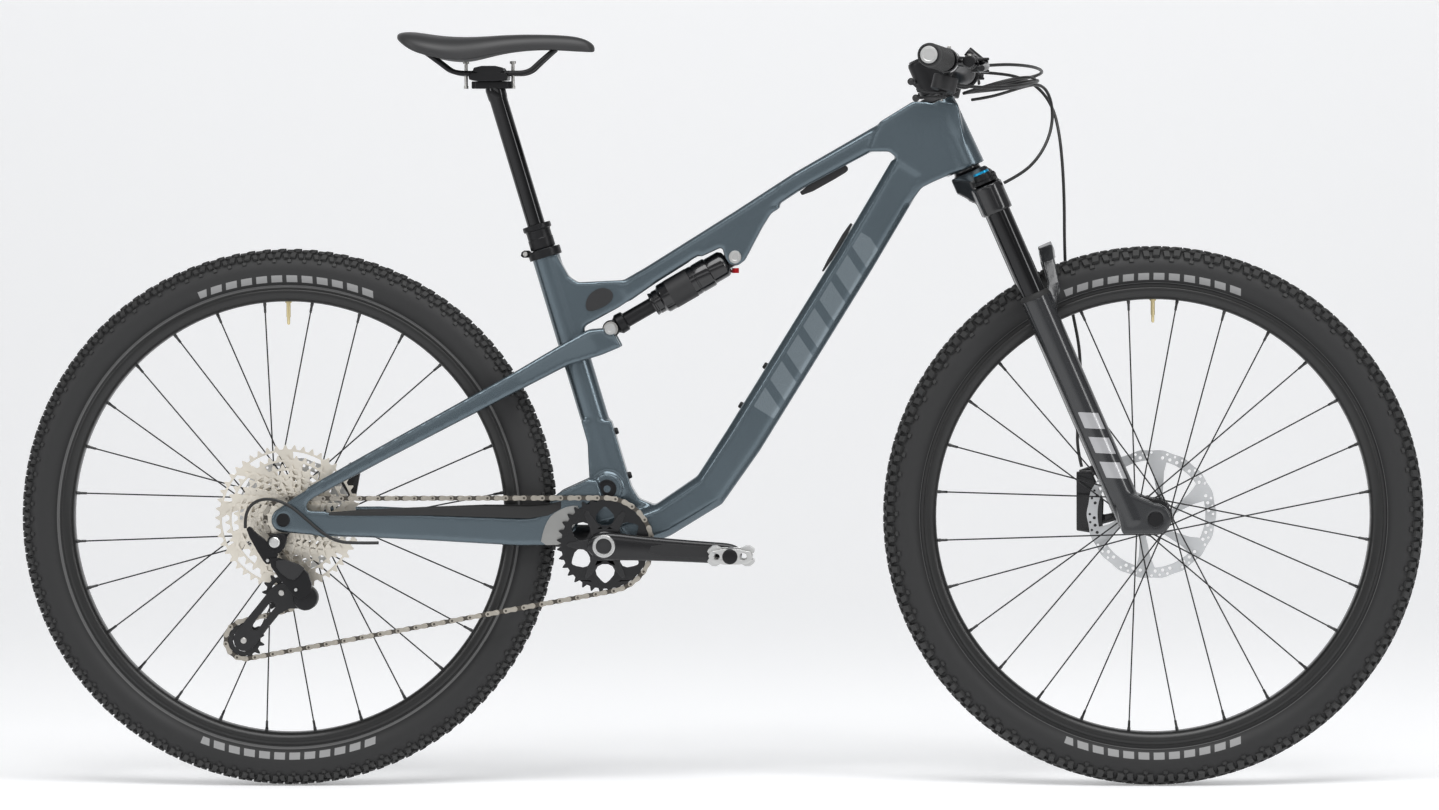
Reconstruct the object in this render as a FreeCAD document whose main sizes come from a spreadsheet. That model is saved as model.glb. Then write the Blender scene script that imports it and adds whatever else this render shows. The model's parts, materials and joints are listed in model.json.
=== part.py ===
"""Full-suspension mountain bike, built as separate named sub-parts.

Frame of the part, in millimetres: +X forwards, +Y to the rider's left, +Z up.  The origin is on the
ground, midway between the wheel axles, in the middle plane.  The drive side is at -Y.
Every driving dimension is a cell of the sheet "dims"; everything else is worked out from them.
"""
import FreeCAD, Part
import math
import os

V = FreeCAD.Vector
Y_AXIS = V(0, 1, 0)

DIMENSIONS = [
    # alias, millimetres or degrees, meaning
    ("wheelbase", 1197, "between the wheel axles"),
    ("tyre_radius", 373, "over the tread"),
    ("tyre_half_width", 30, "carcass, half its section"),
    ("rim_bed_radius", 299.3, "inner edge of the rim"),
    ("rim_hook_radius", 316, "outer edge of the rim"),
    ("rim_half_width", 17.5, "rim, half its width"),
    ("spoke_count", 28, "spokes in each wheel"),
    ("spoke_radius", 0.9, "spoke wire"),
    ("front_hub_half", 55, "middle plane to a fork dropout"),
    ("rear_hub_half", 74, "middle plane to a rear dropout"),
    ("front_rotor_radius", 90, "brake rotor"),
    ("rear_rotor_radius", 80, "brake rotor"),
    ("rotor_thickness", 1.8, "brake rotor"),
    ("axle_radius", 7.5, "front through axle"),
    ("rear_axle_radius", 6, "rear through axle"),
    ("bracket_x", -156.9, "crank axis, along the bike"),
    ("bracket_z", 337, "crank axis above ground"),
    ("bracket_radius", 27, "bottom bracket shell"),
    ("bracket_half", 46, "bottom bracket shell, half its width"),
    ("spindle_radius", 12, "crank spindle"),
    ("crank_length", 175, "crank axis to pedal axis"),
    ("crank_drop", 3.6, "degrees that the right arm points below the horizontal"),
    ("chain_line", 56, "middle plane to the chain"),
    ("chain_pitch", 12.7, "roller to roller"),
    ("ring_teeth", 32, "chainring"),
    ("cog_teeth", 14, "sprocket that the chain is on"),
    ("pulley_teeth", 13, "each derailleur pulley"),
    ("cog_spacing", 3.7, "sprocket to sprocket"),
    ("pivot_x", -154.6, "swingarm pivot, along the bike"),
    ("pivot_z", 413.3, "swingarm pivot above ground"),
    ("pivot_axle_radius", 7.5, "swingarm pivot axle"),
    ("pivot_lug_radius", 21, "swingarm lug round its pivot"),
    ("shock_front_x", 22.2, "front eye of the shock"),
    ("shock_front_z", 732.4, "front eye of the shock"),
    ("shock_rear_x", -150, "rear eye of the shock"),
    ("shock_rear_z", 633.5, "rear eye of the shock"),
    ("shock_can_radius", 21, "air can"),
    ("shock_shaft_radius", 11, "sliding shaft"),
    ("shock_bolt_radius", 4, "bolt through each shock eye"),
    ("seat_angle", 73.4, "degrees, seat tube to the ground"),
    ("seat_axis_x", -308, "seat tube axis at the height of the saddle clamp"),
    ("seat_axis_z", 960, "height of that point"),
    ("seat_tube_radius", 19.5, "outside of the seat tube"),
    ("post_radius", 12.5, "sliding part of the seatpost"),
    ("post_outer_radius", 15.45, "fixed part of the seatpost"),
    ("post_travel", 150, "drop of the seatpost"),
    ("head_angle", 66.5, "degrees, steering axis to the ground"),
    ("fork_offset", 44, "steering axis to the front axle"),
    ("crown_offset", 15, "steering axis to the fork legs"),
    ("leg_y", 68, "middle plane to a fork leg"),
    ("stanchion_radius", 17, "upper fork leg"),
    ("lower_leg_radius", 20.5, "lower fork leg"),
    ("fork_travel", 120, "travel of the fork"),
    ("head_tube_low", 542, "along the steering axis, from beside the front axle to the head tube's foot"),
    ("seal_height", 345, "along the steering axis, from beside the front axle to the fork's seals"),
    ("head_tube_length", 103, "head tube"),
    ("bar_x", 338, "handlebar clamp, along the bike"),
    ("bar_z", 984, "handlebar clamp above ground"),
    ("bar_half", 385, "middle plane to the end of a grip"),
    ("bar_clamp_radius", 15.9, "handlebar at the stem"),
    ("bar_radius", 11.1, "handlebar at a grip"),
    ("grip_radius", 16, "grip"),
    ("grip_length", 130, "grip"),
    ("cable_radius", 2.2, "outer casing of a cable or brake hose"),
    ("boss_spacing", 64, "bottle cage holes, centre to centre"),
    ("boss_depth", 14, "bottle cage holes, from the face to the flat bottom"),
    ("boss_radius", 2.5, "bottle cage holes"),
    ("running_gap", 0.05, "radial clearance of every running fit"),
]

doc = FreeCAD.newDocument("mountain_bike")
sheet = doc.addObject("Spreadsheet::Sheet", "dims")
for row, (alias, value, meaning) in enumerate(DIMENSIONS, start=1):
    sheet.set("A%d" % row, meaning)
    sheet.set("B%d" % row, str(value))
    sheet.setAlias("B%d" % row, alias)
doc.recompute()


def dim(alias):
    """A driving dimension, read from the sheet."""
    return float(sheet.get(alias))


GAP = dim("running_gap")
NODES = {}


# ---------------------------------------------------------------- objects of the document

def keep(obj, label):
    """Makes an object of the document a sub-part of the bike."""
    obj.Label = label
    NODES[label] = obj
    return obj


def feature(label, shape):
    """A sub-part whose shape is made with Part's own functions."""
    obj = doc.addObject("Part::Feature", label)
    obj.Shape = shape
    obj.Placement = FreeCAD.Placement()
    return keep(obj, label)


def cylinder(name, radius, length, middle, axis=Y_AXIS):
    """A Part::Cylinder whose radius and length are expressions, centred on a point."""
    obj = doc.addObject("Part::Cylinder", name)
    obj.setExpression("Radius", radius)
    obj.setExpression("Height", length)
    doc.recompute()
    turn = FreeCAD.Rotation(V(0, 0, 1), axis)
    start = middle - V(axis).normalize() * (obj.Height.Value / 2)
    obj.Placement = FreeCAD.Placement(start, turn)
    return obj


def tube(name, outer, inner, length, middle, axis=Y_AXIS):
    """A round tube: one cylinder cut by another."""
    obj = doc.addObject("Part::Cut", name)
    obj.Base = cylinder(name + "_outside", outer, length, middle, axis)
    obj.Tool = cylinder(name + "_bore", inner, length + " + 2", middle, axis)
    return obj


def group(name, members):
    """Several separate solids kept as one sub-part."""
    obj = doc.addObject("Part::Compound", name)
    obj.Links = members
    return obj


def sketch_on(body, plane, loops):
    """A sketch of closed straight-sided loops on one of a body's origin planes."""
    sketch = body.newObject("Sketcher::SketchObject", body.Name + "_outline")
    origin_plane = [f for f in body.Origin.OriginFeatures if f.Role == plane][0]
    sketch.AttachmentSupport = [(origin_plane, "")]
    sketch.MapMode = "FlatFace"
    for loop in loops:
        ends = [V(a, b, 0) for a, b in loop]
        for start, end in zip(ends, ends[1:] + ends[:1]):
            sketch.addGeometry(Part.LineSegment(start, end), False)
    return sketch


def revolved_body(label, profile, centre):
    """A PartDesign body turned about the Y axis through centre, from (radius, y) points."""
    body = doc.addObject("PartDesign::Body", label)
    sketch = sketch_on(body, "XY_Plane", [profile])
    turned = body.newObject("PartDesign::Revolution", label + "_turned")
    turned.Profile = sketch
    turned.ReferenceAxis = (sketch, ["V_Axis"])
    turned.Angle = 360
    body.Placement = FreeCAD.Placement(centre, FreeCAD.Rotation())
    return keep(body, label)


# ---------------------------------------------------------------- shapes

def plate(outline, y_low, y_high):
    """A flat plate: an outline of (x, z) points between two values of y."""
    points = [V(x, y_low, z) for x, z in outline]
    face = Part.Face(Part.makePolygon(points + points[:1]))
    return face.extrude(V(0, y_high - y_low, 0))


def rod(start, end, radius):
    """A solid round rod between two points."""
    along = end - start
    return Part.makeCylinder(radius, along.Length, start, along)


def disc(x, z, radius, y_low, y_high):
    """A round disc about an axis along Y."""
    return rod(V(x, y_low, z), V(x, y_high, z), radius)


def pipe_wall(start, end, outer, inner):
    """A round tube between two points, open at both ends."""
    step = (end - start).normalize()
    return rod(start, end, outer).cut(rod(start - step, end + step, inner))


def box(low, high):
    """A box between two corners."""
    size = V(*high) - V(*low)
    return Part.makeBox(size.x, size.y, size.z, V(*low))


def section(x, y, z, slope, half_height, half_width, corner=0.35):
    """An eight-sided section across a tube whose centre line rises at slope degrees in XZ."""
    up = V(-math.sin(math.radians(slope)), 0, math.cos(math.radians(slope)))
    cut = corner * min(half_height, half_width)
    corners = []
    for across, rise in ((1, 1), (-1, 1), (-1, -1), (1, -1)):
        steep = V(0, across * half_width, 0) + up * (rise * (half_height - cut))
        shallow = V(0, across * (half_width - cut), 0) + up * (rise * half_height)
        corners += [steep, shallow] if across * rise > 0 else [shallow, steep]
    points = [V(x, y, z) + corner_point for corner_point in corners]
    return Part.makePolygon(points + points[:1])


def loft(*sections):
    """A straight-sided loft through tube sections."""
    return Part.makeLoft([section(*values) for values in sections], True, True)


def fuse(first, *others):
    """One solid from several that meet."""
    joined = first
    for other in others:
        joined = joined.fuse(other)
    return joined


def mirrored(shape):
    """The same shape on the other side of the bike."""
    return shape.mirror(V(0, 0, 0), Y_AXIS)


def route_edges(points):
    """Straight runs joined by the largest tangent arcs that fit, and the arcs' radii.

    Three points in line need no arc.
    """
    edges, radii, start = [], [], points[0]
    for before, at, after in zip(points, points[1:], points[2:]):
        back, ahead = (before - at), (after - at)
        reach = 0.45 * min(back.Length, ahead.Length)
        back.normalize()
        ahead.normalize()
        half_turn = (math.pi - back.getAngle(ahead)) / 2
        if half_turn < math.radians(0.1):
            continue
        radius = reach / math.tan(half_turn)
        arc_start, arc_end = at + back * reach, at + ahead * reach
        middle_line = (back + ahead).normalize()
        middle = at + middle_line * (radius / math.cos(half_turn) - radius)
        edges.append(Part.LineSegment(start, arc_start).toShape())
        edges.append(Part.Arc(arc_start, middle, arc_end).toShape())
        radii.append(radius)
        start = arc_end
    edges.append(Part.LineSegment(start, points[-1]).toShape())
    return edges, radii


def round_bar(points, radius):
    """A round bar bent along a route."""
    path = Part.Wire(route_edges(points)[0])
    circle = Part.Circle(points[0], points[1] - points[0], radius)
    return path.makePipeShell([Part.Wire([circle.toShape()])], True, False)


def cable(name, points, radius):
    """A round cable along a route, checked against its section times its length."""
    points = [V(*point) for point in points]
    edges, radii = route_edges(points)
    path = Part.Wire(edges)
    solid = round_bar(points, radius)
    expected = math.pi * radius ** 2 * path.Length
    if abs(solid.Volume / expected - 1) > 0.01:
        raise ValueError("%s: volume %.1f is not %.1f" % (name, solid.Volume, expected))
    print("%s: %.0f mm long, tightest radius %.0f mm" % (name, path.Length, min(radii)))
    return solid


def toothed_outline(teeth, root_drop=4.2, tip_rise=2.0):
    """The outline of a sprocket about the origin, as (x, z) points, two to a tip and two to a gap."""
    pitch_radius = sprocket_radius(teeth)
    step = 2 * math.pi / teeth
    outline = []
    for tooth in range(teeth):
        for share, radius in ((-0.28, pitch_radius - root_drop), (-0.1, pitch_radius + tip_rise),
                              (0.1, pitch_radius + tip_rise), (0.28, pitch_radius - root_drop)):
            angle = (tooth + 0.5 + share) * step
            outline.append((radius * math.cos(angle), radius * math.sin(angle)))
    return outline


def sprocket_radius(teeth):
    """The radius of the chain's pins on a sprocket."""
    return teeth * dim("chain_pitch") / (2 * math.pi)


# ---------------------------------------------------------------- key points

REAR_AXLE = V(-dim("wheelbase") / 2, 0, dim("tyre_radius"))
FRONT_AXLE = V(dim("wheelbase") / 2, 0, dim("tyre_radius"))
BRACKET = V(dim("bracket_x"), 0, dim("bracket_z"))
PIVOT = V(dim("pivot_x"), 0, dim("pivot_z"))
SHOCK_FRONT = V(dim("shock_front_x"), 0, dim("shock_front_z"))
SHOCK_REAR = V(dim("shock_rear_x"), 0, dim("shock_rear_z"))
SHOCK_ALONG = (SHOCK_REAR - SHOCK_FRONT).normalize()
SEAT_UP = V(-math.cos(math.radians(dim("seat_angle"))), 0, math.sin(math.radians(dim("seat_angle"))))
SEAT_POINT = V(dim("seat_axis_x"), 0, dim("seat_axis_z"))
STEER_UP = V(-math.cos(math.radians(dim("head_angle"))), 0, math.sin(math.radians(dim("head_angle"))))
STEER_AHEAD = V(STEER_UP.z, 0, -STEER_UP.x)
STEER_FOOT = FRONT_AXLE - STEER_AHEAD * dim("fork_offset")
CHAIN_Y = -dim("chain_line")
LEG_Y = dim("leg_y")


def seat_at(height):
    """The point of the seat tube's axis at a height above ground."""
    return SEAT_POINT + SEAT_UP * ((height - SEAT_POINT.z) / SEAT_UP.z)


def steer_at(along, ahead=0, y=0):
    """A point by its distance up the steering axis, ahead of it and to the left."""
    return STEER_FOOT + STEER_UP * along + STEER_AHEAD * ahead + V(0, y, 0)


HEAD_LOW = dim("head_tube_low")
HEAD_TOP = HEAD_LOW + dim("head_tube_length")
CROWN = HEAD_LOW - 16
SOCKET_LOW = HEAD_LOW - 71
STEERER_TOP = HEAD_TOP + 54
SEAL = dim("seal_height")
COLLAR_Z = 745
KNOB_TOP = 15.5
GUIDE_PULLEY = V(-603, CHAIN_Y, 272)
TENSION_PULLEY = V(-656, CHAIN_Y, 206)
CAGE_PIVOT = V(-568, CHAIN_Y, 266)
FRONT_ROTOR_Y = 42
REAR_ROTOR_Y = 61
FRONT_FLANGES = (-34, 18)
REAR_FLANGES = (-17, 38)


# ---------------------------------------------------------------- frame

def frame_moulding():
    """Head tube, top tube, web, shock fin, down tube, seat tube and bracket shell in one moulding."""
    head_low, head_top = steer_at(HEAD_LOW), steer_at(HEAD_TOP)
    seat_low, seat_top = seat_at(440), seat_at(COLLAR_Z)
    top_tube = loft((305, 0, 922, 24, 21, 22), (254, 0, 917, 31, 15, 22), (111, 0, 838, 32, 12.5, 21),
                    (28, 0, 784, 32, 13, 20), (-94, 0, 708, 32, 13, 19), (-132, 0, 684, 32, 15, 18))
    head_gusset = plate([(330, 944), (268, 946), (222, 918), (207, 877), (235, 877), (246, 868),
                         (238, 847), (222, 822), (264, 806), (280, 827), (296, 835), (345, 856)], -24, 24)
    down_tube = loft((262, 0, 852, 58, 27, 25), (188, 0, 728, 58, 27, 28), (33, 0, 479, 58, 27, 28),
                     (-14, 0, 410, 42, 26, 28), (-78, 0, 369, 25, 24, 30), (-152, 0, 340, 20, 24, 34))
    web = plate([(-226, 738), (-208, 706), (-196, 698), (-130, 701), (-80, 728), (-93, 694),
                 (-139, 663), (-187, 637), (-188, 600), (-205, 600), (-240, 700)], -17, 17)
    fin = plate([(86, 801), (72, 792), (60, 773), (36, 728), (28, 721), (14, 722), (8, 731),
                 (4, 746), (-26, 732), (-26, 748), (60, 800)], -20, 20)
    seat_tube = rod(seat_low, seat_top, dim("seat_tube_radius"))
    seat_foot = plate([(-192, 507), (-183, 475), (-181, 430), (-176, 352), (-130, 352), (-92, 390),
                       (-112, 398), (-122.5, 415), (-150, 507)], -19, 19)
    shell = disc(BRACKET.x, BRACKET.z, dim("bracket_radius"), -dim("bracket_half"), dim("bracket_half"))
    pivot_boss = disc(PIVOT.x, PIVOT.z, 20, -23, 23)
    head_tube = Part.makeCone(27, 24, (head_top - head_low).Length, head_low, STEER_UP)
    body = fuse(head_tube, head_gusset, top_tube, web, fin, down_tube, seat_tube, seat_foot, shell,
                pivot_boss)

    past = STEER_UP * 2
    steerer_room = rod(head_low - past, head_top + past * 10, 22)
    post_room = fuse(rod(seat_at(560), seat_top + SEAT_UP * 2, dim("post_outer_radius") + GAP),
                     rod(seat_at(498), seat_at(561), dim("post_radius") + 0.7))
    cups_room = disc(BRACKET.x, BRACKET.z, 21, -60, 60)
    axle_room = disc(PIVOT.x, PIVOT.z, dim("pivot_axle_radius") + GAP, -30, 30)
    bolt_room = disc(SHOCK_FRONT.x, SHOCK_FRONT.z, dim("shock_bolt_radius") + GAP, -30, 30)
    eye_room = fuse(disc(SHOCK_FRONT.x, SHOCK_FRONT.z, 24, -13, 13),
                    box((-40, -13, 690), (SHOCK_FRONT.x, 13, 735)))
    return body.cut([steerer_room, post_room, cups_room, axle_room, bolt_room, eye_room] + boss_holes())


def frame_sections():
    """The frame's moulding, divided at flat joints into four sub-parts."""
    moulding = frame_moulding()
    down_tube_band = plate([(-43, 449), (33, 401), (260, 761), (184, 809)], -60, 60)
    seat_tube_band = box((-230, -60, 392), (-90, 60, 592))
    lower_band = box((-300, -60, 250), (100, 60, 470))
    rest = moulding.cut([down_tube_band, seat_tube_band])
    return {"upper_frame": rest.cut(lower_band), "down_tube": moulding.common(down_tube_band),
            "seat_tube": moulding.common(seat_tube_band), "bracket_shell": rest.common(lower_band)}


# Where a bottle cage sits: the middle of its face as (x, z), and the way up along that face.
BOTTLE_FACES = (((47.6, 553.5), V(0.5285, 0, 0.849)), ((-136.1, 460.5), V(-0.2864, 0, 0.958)))


def boss_holes():
    """Two pairs of threaded holes for bottle cages, in the down tube and the seat tube."""
    holes = []
    for (x, z), along in BOTTLE_FACES:
        inward = V(along.z, 0, -along.x) * (1 if along.x > 0 else -1)
        for share in (-0.5, 0.5):
            mouth = V(x, 0, z) + along * (share * dim("boss_spacing"))
            holes.append(rod(mouth - inward * 10, mouth + inward * dim("boss_depth"), dim("boss_radius")))
    return holes


def headset_bearings():
    """The upper and the lower bearing between the steerer and the head tube."""
    low = pipe_wall(steer_at(HEAD_LOW + 1), steer_at(HEAD_LOW + 9), 22 - GAP, 19 + GAP)
    high = pipe_wall(steer_at(HEAD_TOP - 9), steer_at(HEAD_TOP - 1), 22 - GAP, 14.3 + GAP)
    return [low, high]


def headset_cover():
    """The fixed cover on the head tube that the cables go in through."""
    ring = Part.makeCone(24, 21, 9, steer_at(HEAD_TOP + GAP), STEER_UP)
    lip = loft((292, 0, 957, 24, 4, 20), (322, 0, 963, 24, 6, 16), (334, 0, 955, 24, 5, 12))
    above_lip = rod(steer_at(HEAD_TOP + 5), steer_at(HEAD_TOP + 60), 80)
    below = rod(steer_at(HEAD_TOP - 30), steer_at(HEAD_TOP + GAP), 60)
    bore = rod(steer_at(HEAD_TOP - 5), steer_at(HEAD_TOP + 30), 14.3 + 4 * GAP)
    return fuse(ring, lip.cut(above_lip)).cut([below, bore, NODES["upper_frame"].Shape])


def seat_collar():
    """The clamp round the top of the seat tube, with its bolt ear at the back."""
    top = seat_at(COLLAR_Z) - SEAT_UP * 1
    ring = pipe_wall(top - SEAT_UP * 12, top, 23, dim("seat_tube_radius") + GAP)
    ear_at = seat_at(COLLAR_Z - 8)
    ear = box((ear_at.x - 34, -6, ear_at.z - 5), (ear_at.x - 20.5, 6, ear_at.z + 5))
    body = fuse(ring, ear.cut(rod(top - SEAT_UP * 30, top + SEAT_UP * 20, 22)))
    return body.cut(NODES["upper_frame"].Shape)


def dropper_outer_tube():
    """The fixed tube of the seatpost, with its wiper collar above the seat tube."""
    low, rim = seat_at(562), seat_at(COLLAR_Z) + SEAT_UP * 0.2
    top = rim + SEAT_UP * 34
    body = fuse(rod(low, rim, dim("post_outer_radius")), rod(rim, top - SEAT_UP * 8, 17.5),
                rod(top - SEAT_UP * 8, top, 20))
    return body.cut(rod(low - SEAT_UP, top + SEAT_UP, dim("post_radius") + GAP))


def build_frame():
    """Sub-parts that are fixed to the frame."""
    for label, shape in frame_sections().items():
        feature(label, shape)
    feature("headset_cover", headset_cover())
    feature("seat_collar", seat_collar())
    feature("dropper_outer_tube", dropper_outer_tube())
    cups = [tube("bracket_cup_" + side, "21 - dims.running_gap", "dims.spindle_radius + dims.running_gap",
                 "9", BRACKET + V(0, y, 0)) for side, y in (("right", -44), ("left", 44))]
    rings = doc.addObject("Part::Feature", "headset_bearings")
    rings.Shape = Part.makeCompound(headset_bearings())
    keep(group("bearings", cups + [rings]), "frame_bearings")
    bolts = [cylinder("pivot_axle", "dims.pivot_axle_radius", "88", PIVOT),
             cylinder("shock_bolt", "dims.shock_bolt_radius", "46", SHOCK_FRONT)]
    keep(group("bolts", bolts), "frame_bolts")


# ---------------------------------------------------------------- swingarm

def stay_side():
    """The right half of the rear triangle: dropout, seatstay, chainstay and pivot lug."""
    inner, outer = -dim("rear_hub_half"), -dim("rear_hub_half") - 9
    dropout = fuse(disc(REAR_AXLE.x, REAR_AXLE.z, 17, outer, inner),
                   plate([(-610, 385), (-584, 404), (-562, 417), (-548, 424), (-556, 404), (-566, 396),
                          (-566, 386), (-540, 385), (-540, 348), (-554, 352), (-600, 356)], outer, inner))
    seatstay = loft((-562, -78.5, 410, 28, 8.5, 4.5), (-480, -70, 455, 28, 9.5, 7),
                    (-275, -46, 564, 28, 13, 8), (-215, -33, 597, 28, 15, 8), (-172, -24, 615, 28, 20, 8),
                    (-142, -23, 622, 28, 15, 7))
    chainstay = loft((-556, -78.5, 367, 0, 16, 4.5), (-480, -68, 366, 0, 18, 7), (-400, -52, 362, 0, 19, 8),
                     (-274, -43, 355, 0, 20, 7), (-236, -43, 357, 0, 21, 7))
    yoke = plate([(-250, 336), (-222, 337), (-203, 352), (-194, 378), (-172, 396), (-160, 400),
                  (-168, 426), (-180, 427), (-222, 408), (-250, 378)], -50, -36)
    lug = disc(PIVOT.x, PIVOT.z, dim("pivot_lug_radius"), -42, -24)
    arm = plate([(-172, 396), (-160, 400), (-168, 426), (-180, 427)], -42, -24)
    return fuse(dropout, seatstay, chainstay, yoke, arm, lug)


def rear_triangle():
    """One moulding: both sides of the rear triangle, joined in front of the tyre."""
    right = stay_side()
    bridge = box((-219, -44, 372), (-204, 44, 399))
    body = fuse(right, mirrored(right), bridge)
    axle_room = disc(REAR_AXLE.x, REAR_AXLE.z, dim("rear_axle_radius") + GAP, -100, 100)
    pivot_room = disc(PIVOT.x, PIVOT.z, dim("pivot_axle_radius") + GAP, -60, 60)
    bolt_room = disc(SHOCK_REAR.x, SHOCK_REAR.z, 7 + GAP, -60, 60)
    seat_tube_room = rod(seat_at(400), seat_at(700), dim("seat_tube_radius") + 1.5)
    wheel_room = disc(REAR_AXLE.x, REAR_AXLE.z, dim("tyre_radius") + 4, -34, 34)
    return body.cut([axle_room, pivot_room, bolt_room, seat_tube_room, wheel_room])


def yoke_bolts():
    """Two stub bolts that carry the rear eye of the shock, one in each side of the swingarm."""
    return Part.makeCompound([disc(SHOCK_REAR.x, SHOCK_REAR.z, 7, low, low + 18) for low in (-31, 13)])


def derailleur_hanger():
    """The black hanger below the right dropout."""
    outline = [(-616, 354), (-622, 341), (-618, 331), (-606, 331), (-598, 342), (-590, 355)]
    hanger = plate(outline, -82, -75)
    clear = NODES["rear_triangle"].Shape
    return hanger.cut([clear, disc(-612, 341, 5 + GAP, -90, -70)])


def derailleur_body():
    """B-knuckle with its bolt and cable entry, the outer link and the cage's spring housing."""
    knuckle = plate([(-655, 362), (-646, 362), (-600, 333), (-604, 316), (-622, 312), (-655, 349)], -92, -83)
    bolt = fuse(disc(-612, 341, 5, -83, -75), disc(-612, 341, 7, -96, -92))
    link = plate([(-622, 316), (-602, 322), (-570, 308), (-560, 270), (-592, 268)], -97, -84)
    housing = disc(-568, 266, 17, -94, -68)
    inner_link = plate([(-620, 314), (-606, 318), (-572, 280), (-584, 268)], -84, -69)
    body = fuse(knuckle, bolt, link, housing, inner_link)
    return body.cut([NODES["rear_triangle"].Shape, NODES["derailleur_hanger"].Shape])


def rear_caliper():
    """The rear brake caliper between the stays on the left, astride the rotor."""
    block = plate([(-548, 396), (-512, 399), (-505, 436), (-520, 446), (-546, 424)], 52, 72)
    slot = box((-700, 59.2, 300), (-400, 62.8, 500))
    clear = NODES["rear_triangle"].Shape
    return biggest(block.cut([slot, clear]))


def biggest(shape):
    """The largest solid of a shape."""
    return max(shape.Solids, key=lambda solid: solid.Volume)


def rear_shift_cable():
    """The casing that loops over the right dropout from the chainstay to the derailleur."""
    route = [(-650, -88, 362.4), (-651, -88, 380), (-640, -88, 398), (-618, -89, 404), (-592, -89, 396),
             (-570, -88, 378), (-548, -87.5, 358), (-524, -84, 343), (-496, -78.5, 341), (-468, -73, 341)]
    return cable("rear_shift_cable", route, dim("cable_radius"))


# ---------------------------------------------------------------- shock

def shock_can():
    """Front eye, body and air can of the shock, open at the back for the shaft."""
    eye = disc(SHOCK_FRONT.x, SHOCK_FRONT.z, 12, -12, 12)
    neck = rod(SHOCK_FRONT, SHOCK_FRONT + SHOCK_ALONG * 26, 11)
    cap = rod(SHOCK_FRONT + SHOCK_ALONG * 18, SHOCK_FRONT + SHOCK_ALONG * 42, 19)
    can = rod(SHOCK_FRONT + SHOCK_ALONG * 40, SHOCK_FRONT + SHOCK_ALONG * 118, dim("shock_can_radius"))
    seal = rod(SHOCK_FRONT + SHOCK_ALONG * 116, SHOCK_FRONT + SHOCK_ALONG * 132, 17)
    knob_seat = rod(SHOCK_FRONT, SHOCK_FRONT - V(0, 0, KNOB_TOP - GAP), 6)
    body = fuse(eye, neck, cap, can, seal, knob_seat)
    bore = rod(SHOCK_FRONT + SHOCK_ALONG * 60, SHOCK_FRONT + SHOCK_ALONG * 140,
               dim("shock_shaft_radius") + GAP)
    bolt_room = disc(SHOCK_FRONT.x, SHOCK_FRONT.z, dim("shock_bolt_radius") + GAP, -20, 20)
    return body.cut([bore, bolt_room])


def shock_shaft():
    """Sliding shaft of the shock and its rear eye."""
    shaft = rod(SHOCK_FRONT + SHOCK_ALONG * 104, SHOCK_REAR, dim("shock_shaft_radius"))
    return fuse(shaft, disc(SHOCK_REAR.x, SHOCK_REAR.z, 12, -10.5, 10.5))


def rebound_knob():
    """The small damping knob under the front eye of the shock."""
    return rod(SHOCK_FRONT - V(0, 0, KNOB_TOP), SHOCK_FRONT - V(0, 0, KNOB_TOP + 7), 5)


# ---------------------------------------------------------------- drivetrain

def cassette():
    """Twelve sprockets on one carrier."""
    teeth_counts = (10, 12, 14, 16, 18, 21, 24, 28, 32, 36, 42, 49)
    in_use = teeth_counts.index(int(dim("cog_teeth")))
    solids = []
    for place, teeth in enumerate(teeth_counts):
        y = CHAIN_Y + (place - in_use) * dim("cog_spacing")
        outline = [(REAR_AXLE.x + x, REAR_AXLE.z + z) for x, z in toothed_outline(teeth)]
        solids.append(plate(outline, y - 0.8, y + 0.8))
    last = CHAIN_Y + (len(teeth_counts) - 1 - in_use) * dim("cog_spacing")
    first = CHAIN_Y - in_use * dim("cog_spacing")
    carrier = disc(REAR_AXLE.x, REAR_AXLE.z, 15, first - 1.5, last + 0.8)
    body = fuse(carrier, *solids)
    return body.cut(disc(REAR_AXLE.x, REAR_AXLE.z, 12 + GAP, first - 5, last + 5))


def arm_outline(side):
    """Crank arm outline: a boss on the spindle that tapers to a boss on the pedal axis."""
    turn = math.radians(-dim("crank_drop"))
    along, across = V(math.cos(turn), 0, math.sin(turn)) * side, V(-math.sin(turn), 0, math.cos(turn))
    length = dim("crank_length")
    shape = [(-14, 17), (8, 21), (70, 18), (length - 8, 15), (length + 10, 10), (length + 14, 0),
             (length + 8, -12), (length - 10, -15), (70, -15), (8, -20), (-14, -17), (-22, 0)]
    points = [BRACKET + along * a + across * b for a, b in shape]
    return [(point.x, point.z) for point in points]


def pedal_centre(side):
    """The pedal axis at one end of the cranks: side is 1 on the right arm, -1 on the left."""
    turn = math.radians(-dim("crank_drop"))
    return BRACKET + V(math.cos(turn), 0, math.sin(turn)) * (dim("crank_length") * side)


def crank_arm(side):
    """One crank arm with its pedal hole; the right one carries the spindle."""
    near, far = (-90, -74) if side > 0 else (74, 90)
    arm = plate(arm_outline(side), near, far)
    pedal = pedal_centre(side)
    arm = arm.cut(disc(pedal.x, pedal.z, 7 + GAP, -200, 200))
    if side < 0:
        return arm.cut(disc(BRACKET.x, BRACKET.z, dim("spindle_radius") + GAP, -200, 200))
    spindle = disc(BRACKET.x, BRACKET.z, dim("spindle_radius"), -74, 88)
    spider = disc(BRACKET.x, BRACKET.z, 19, -74, -59)
    return fuse(arm, spindle, spider)


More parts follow.
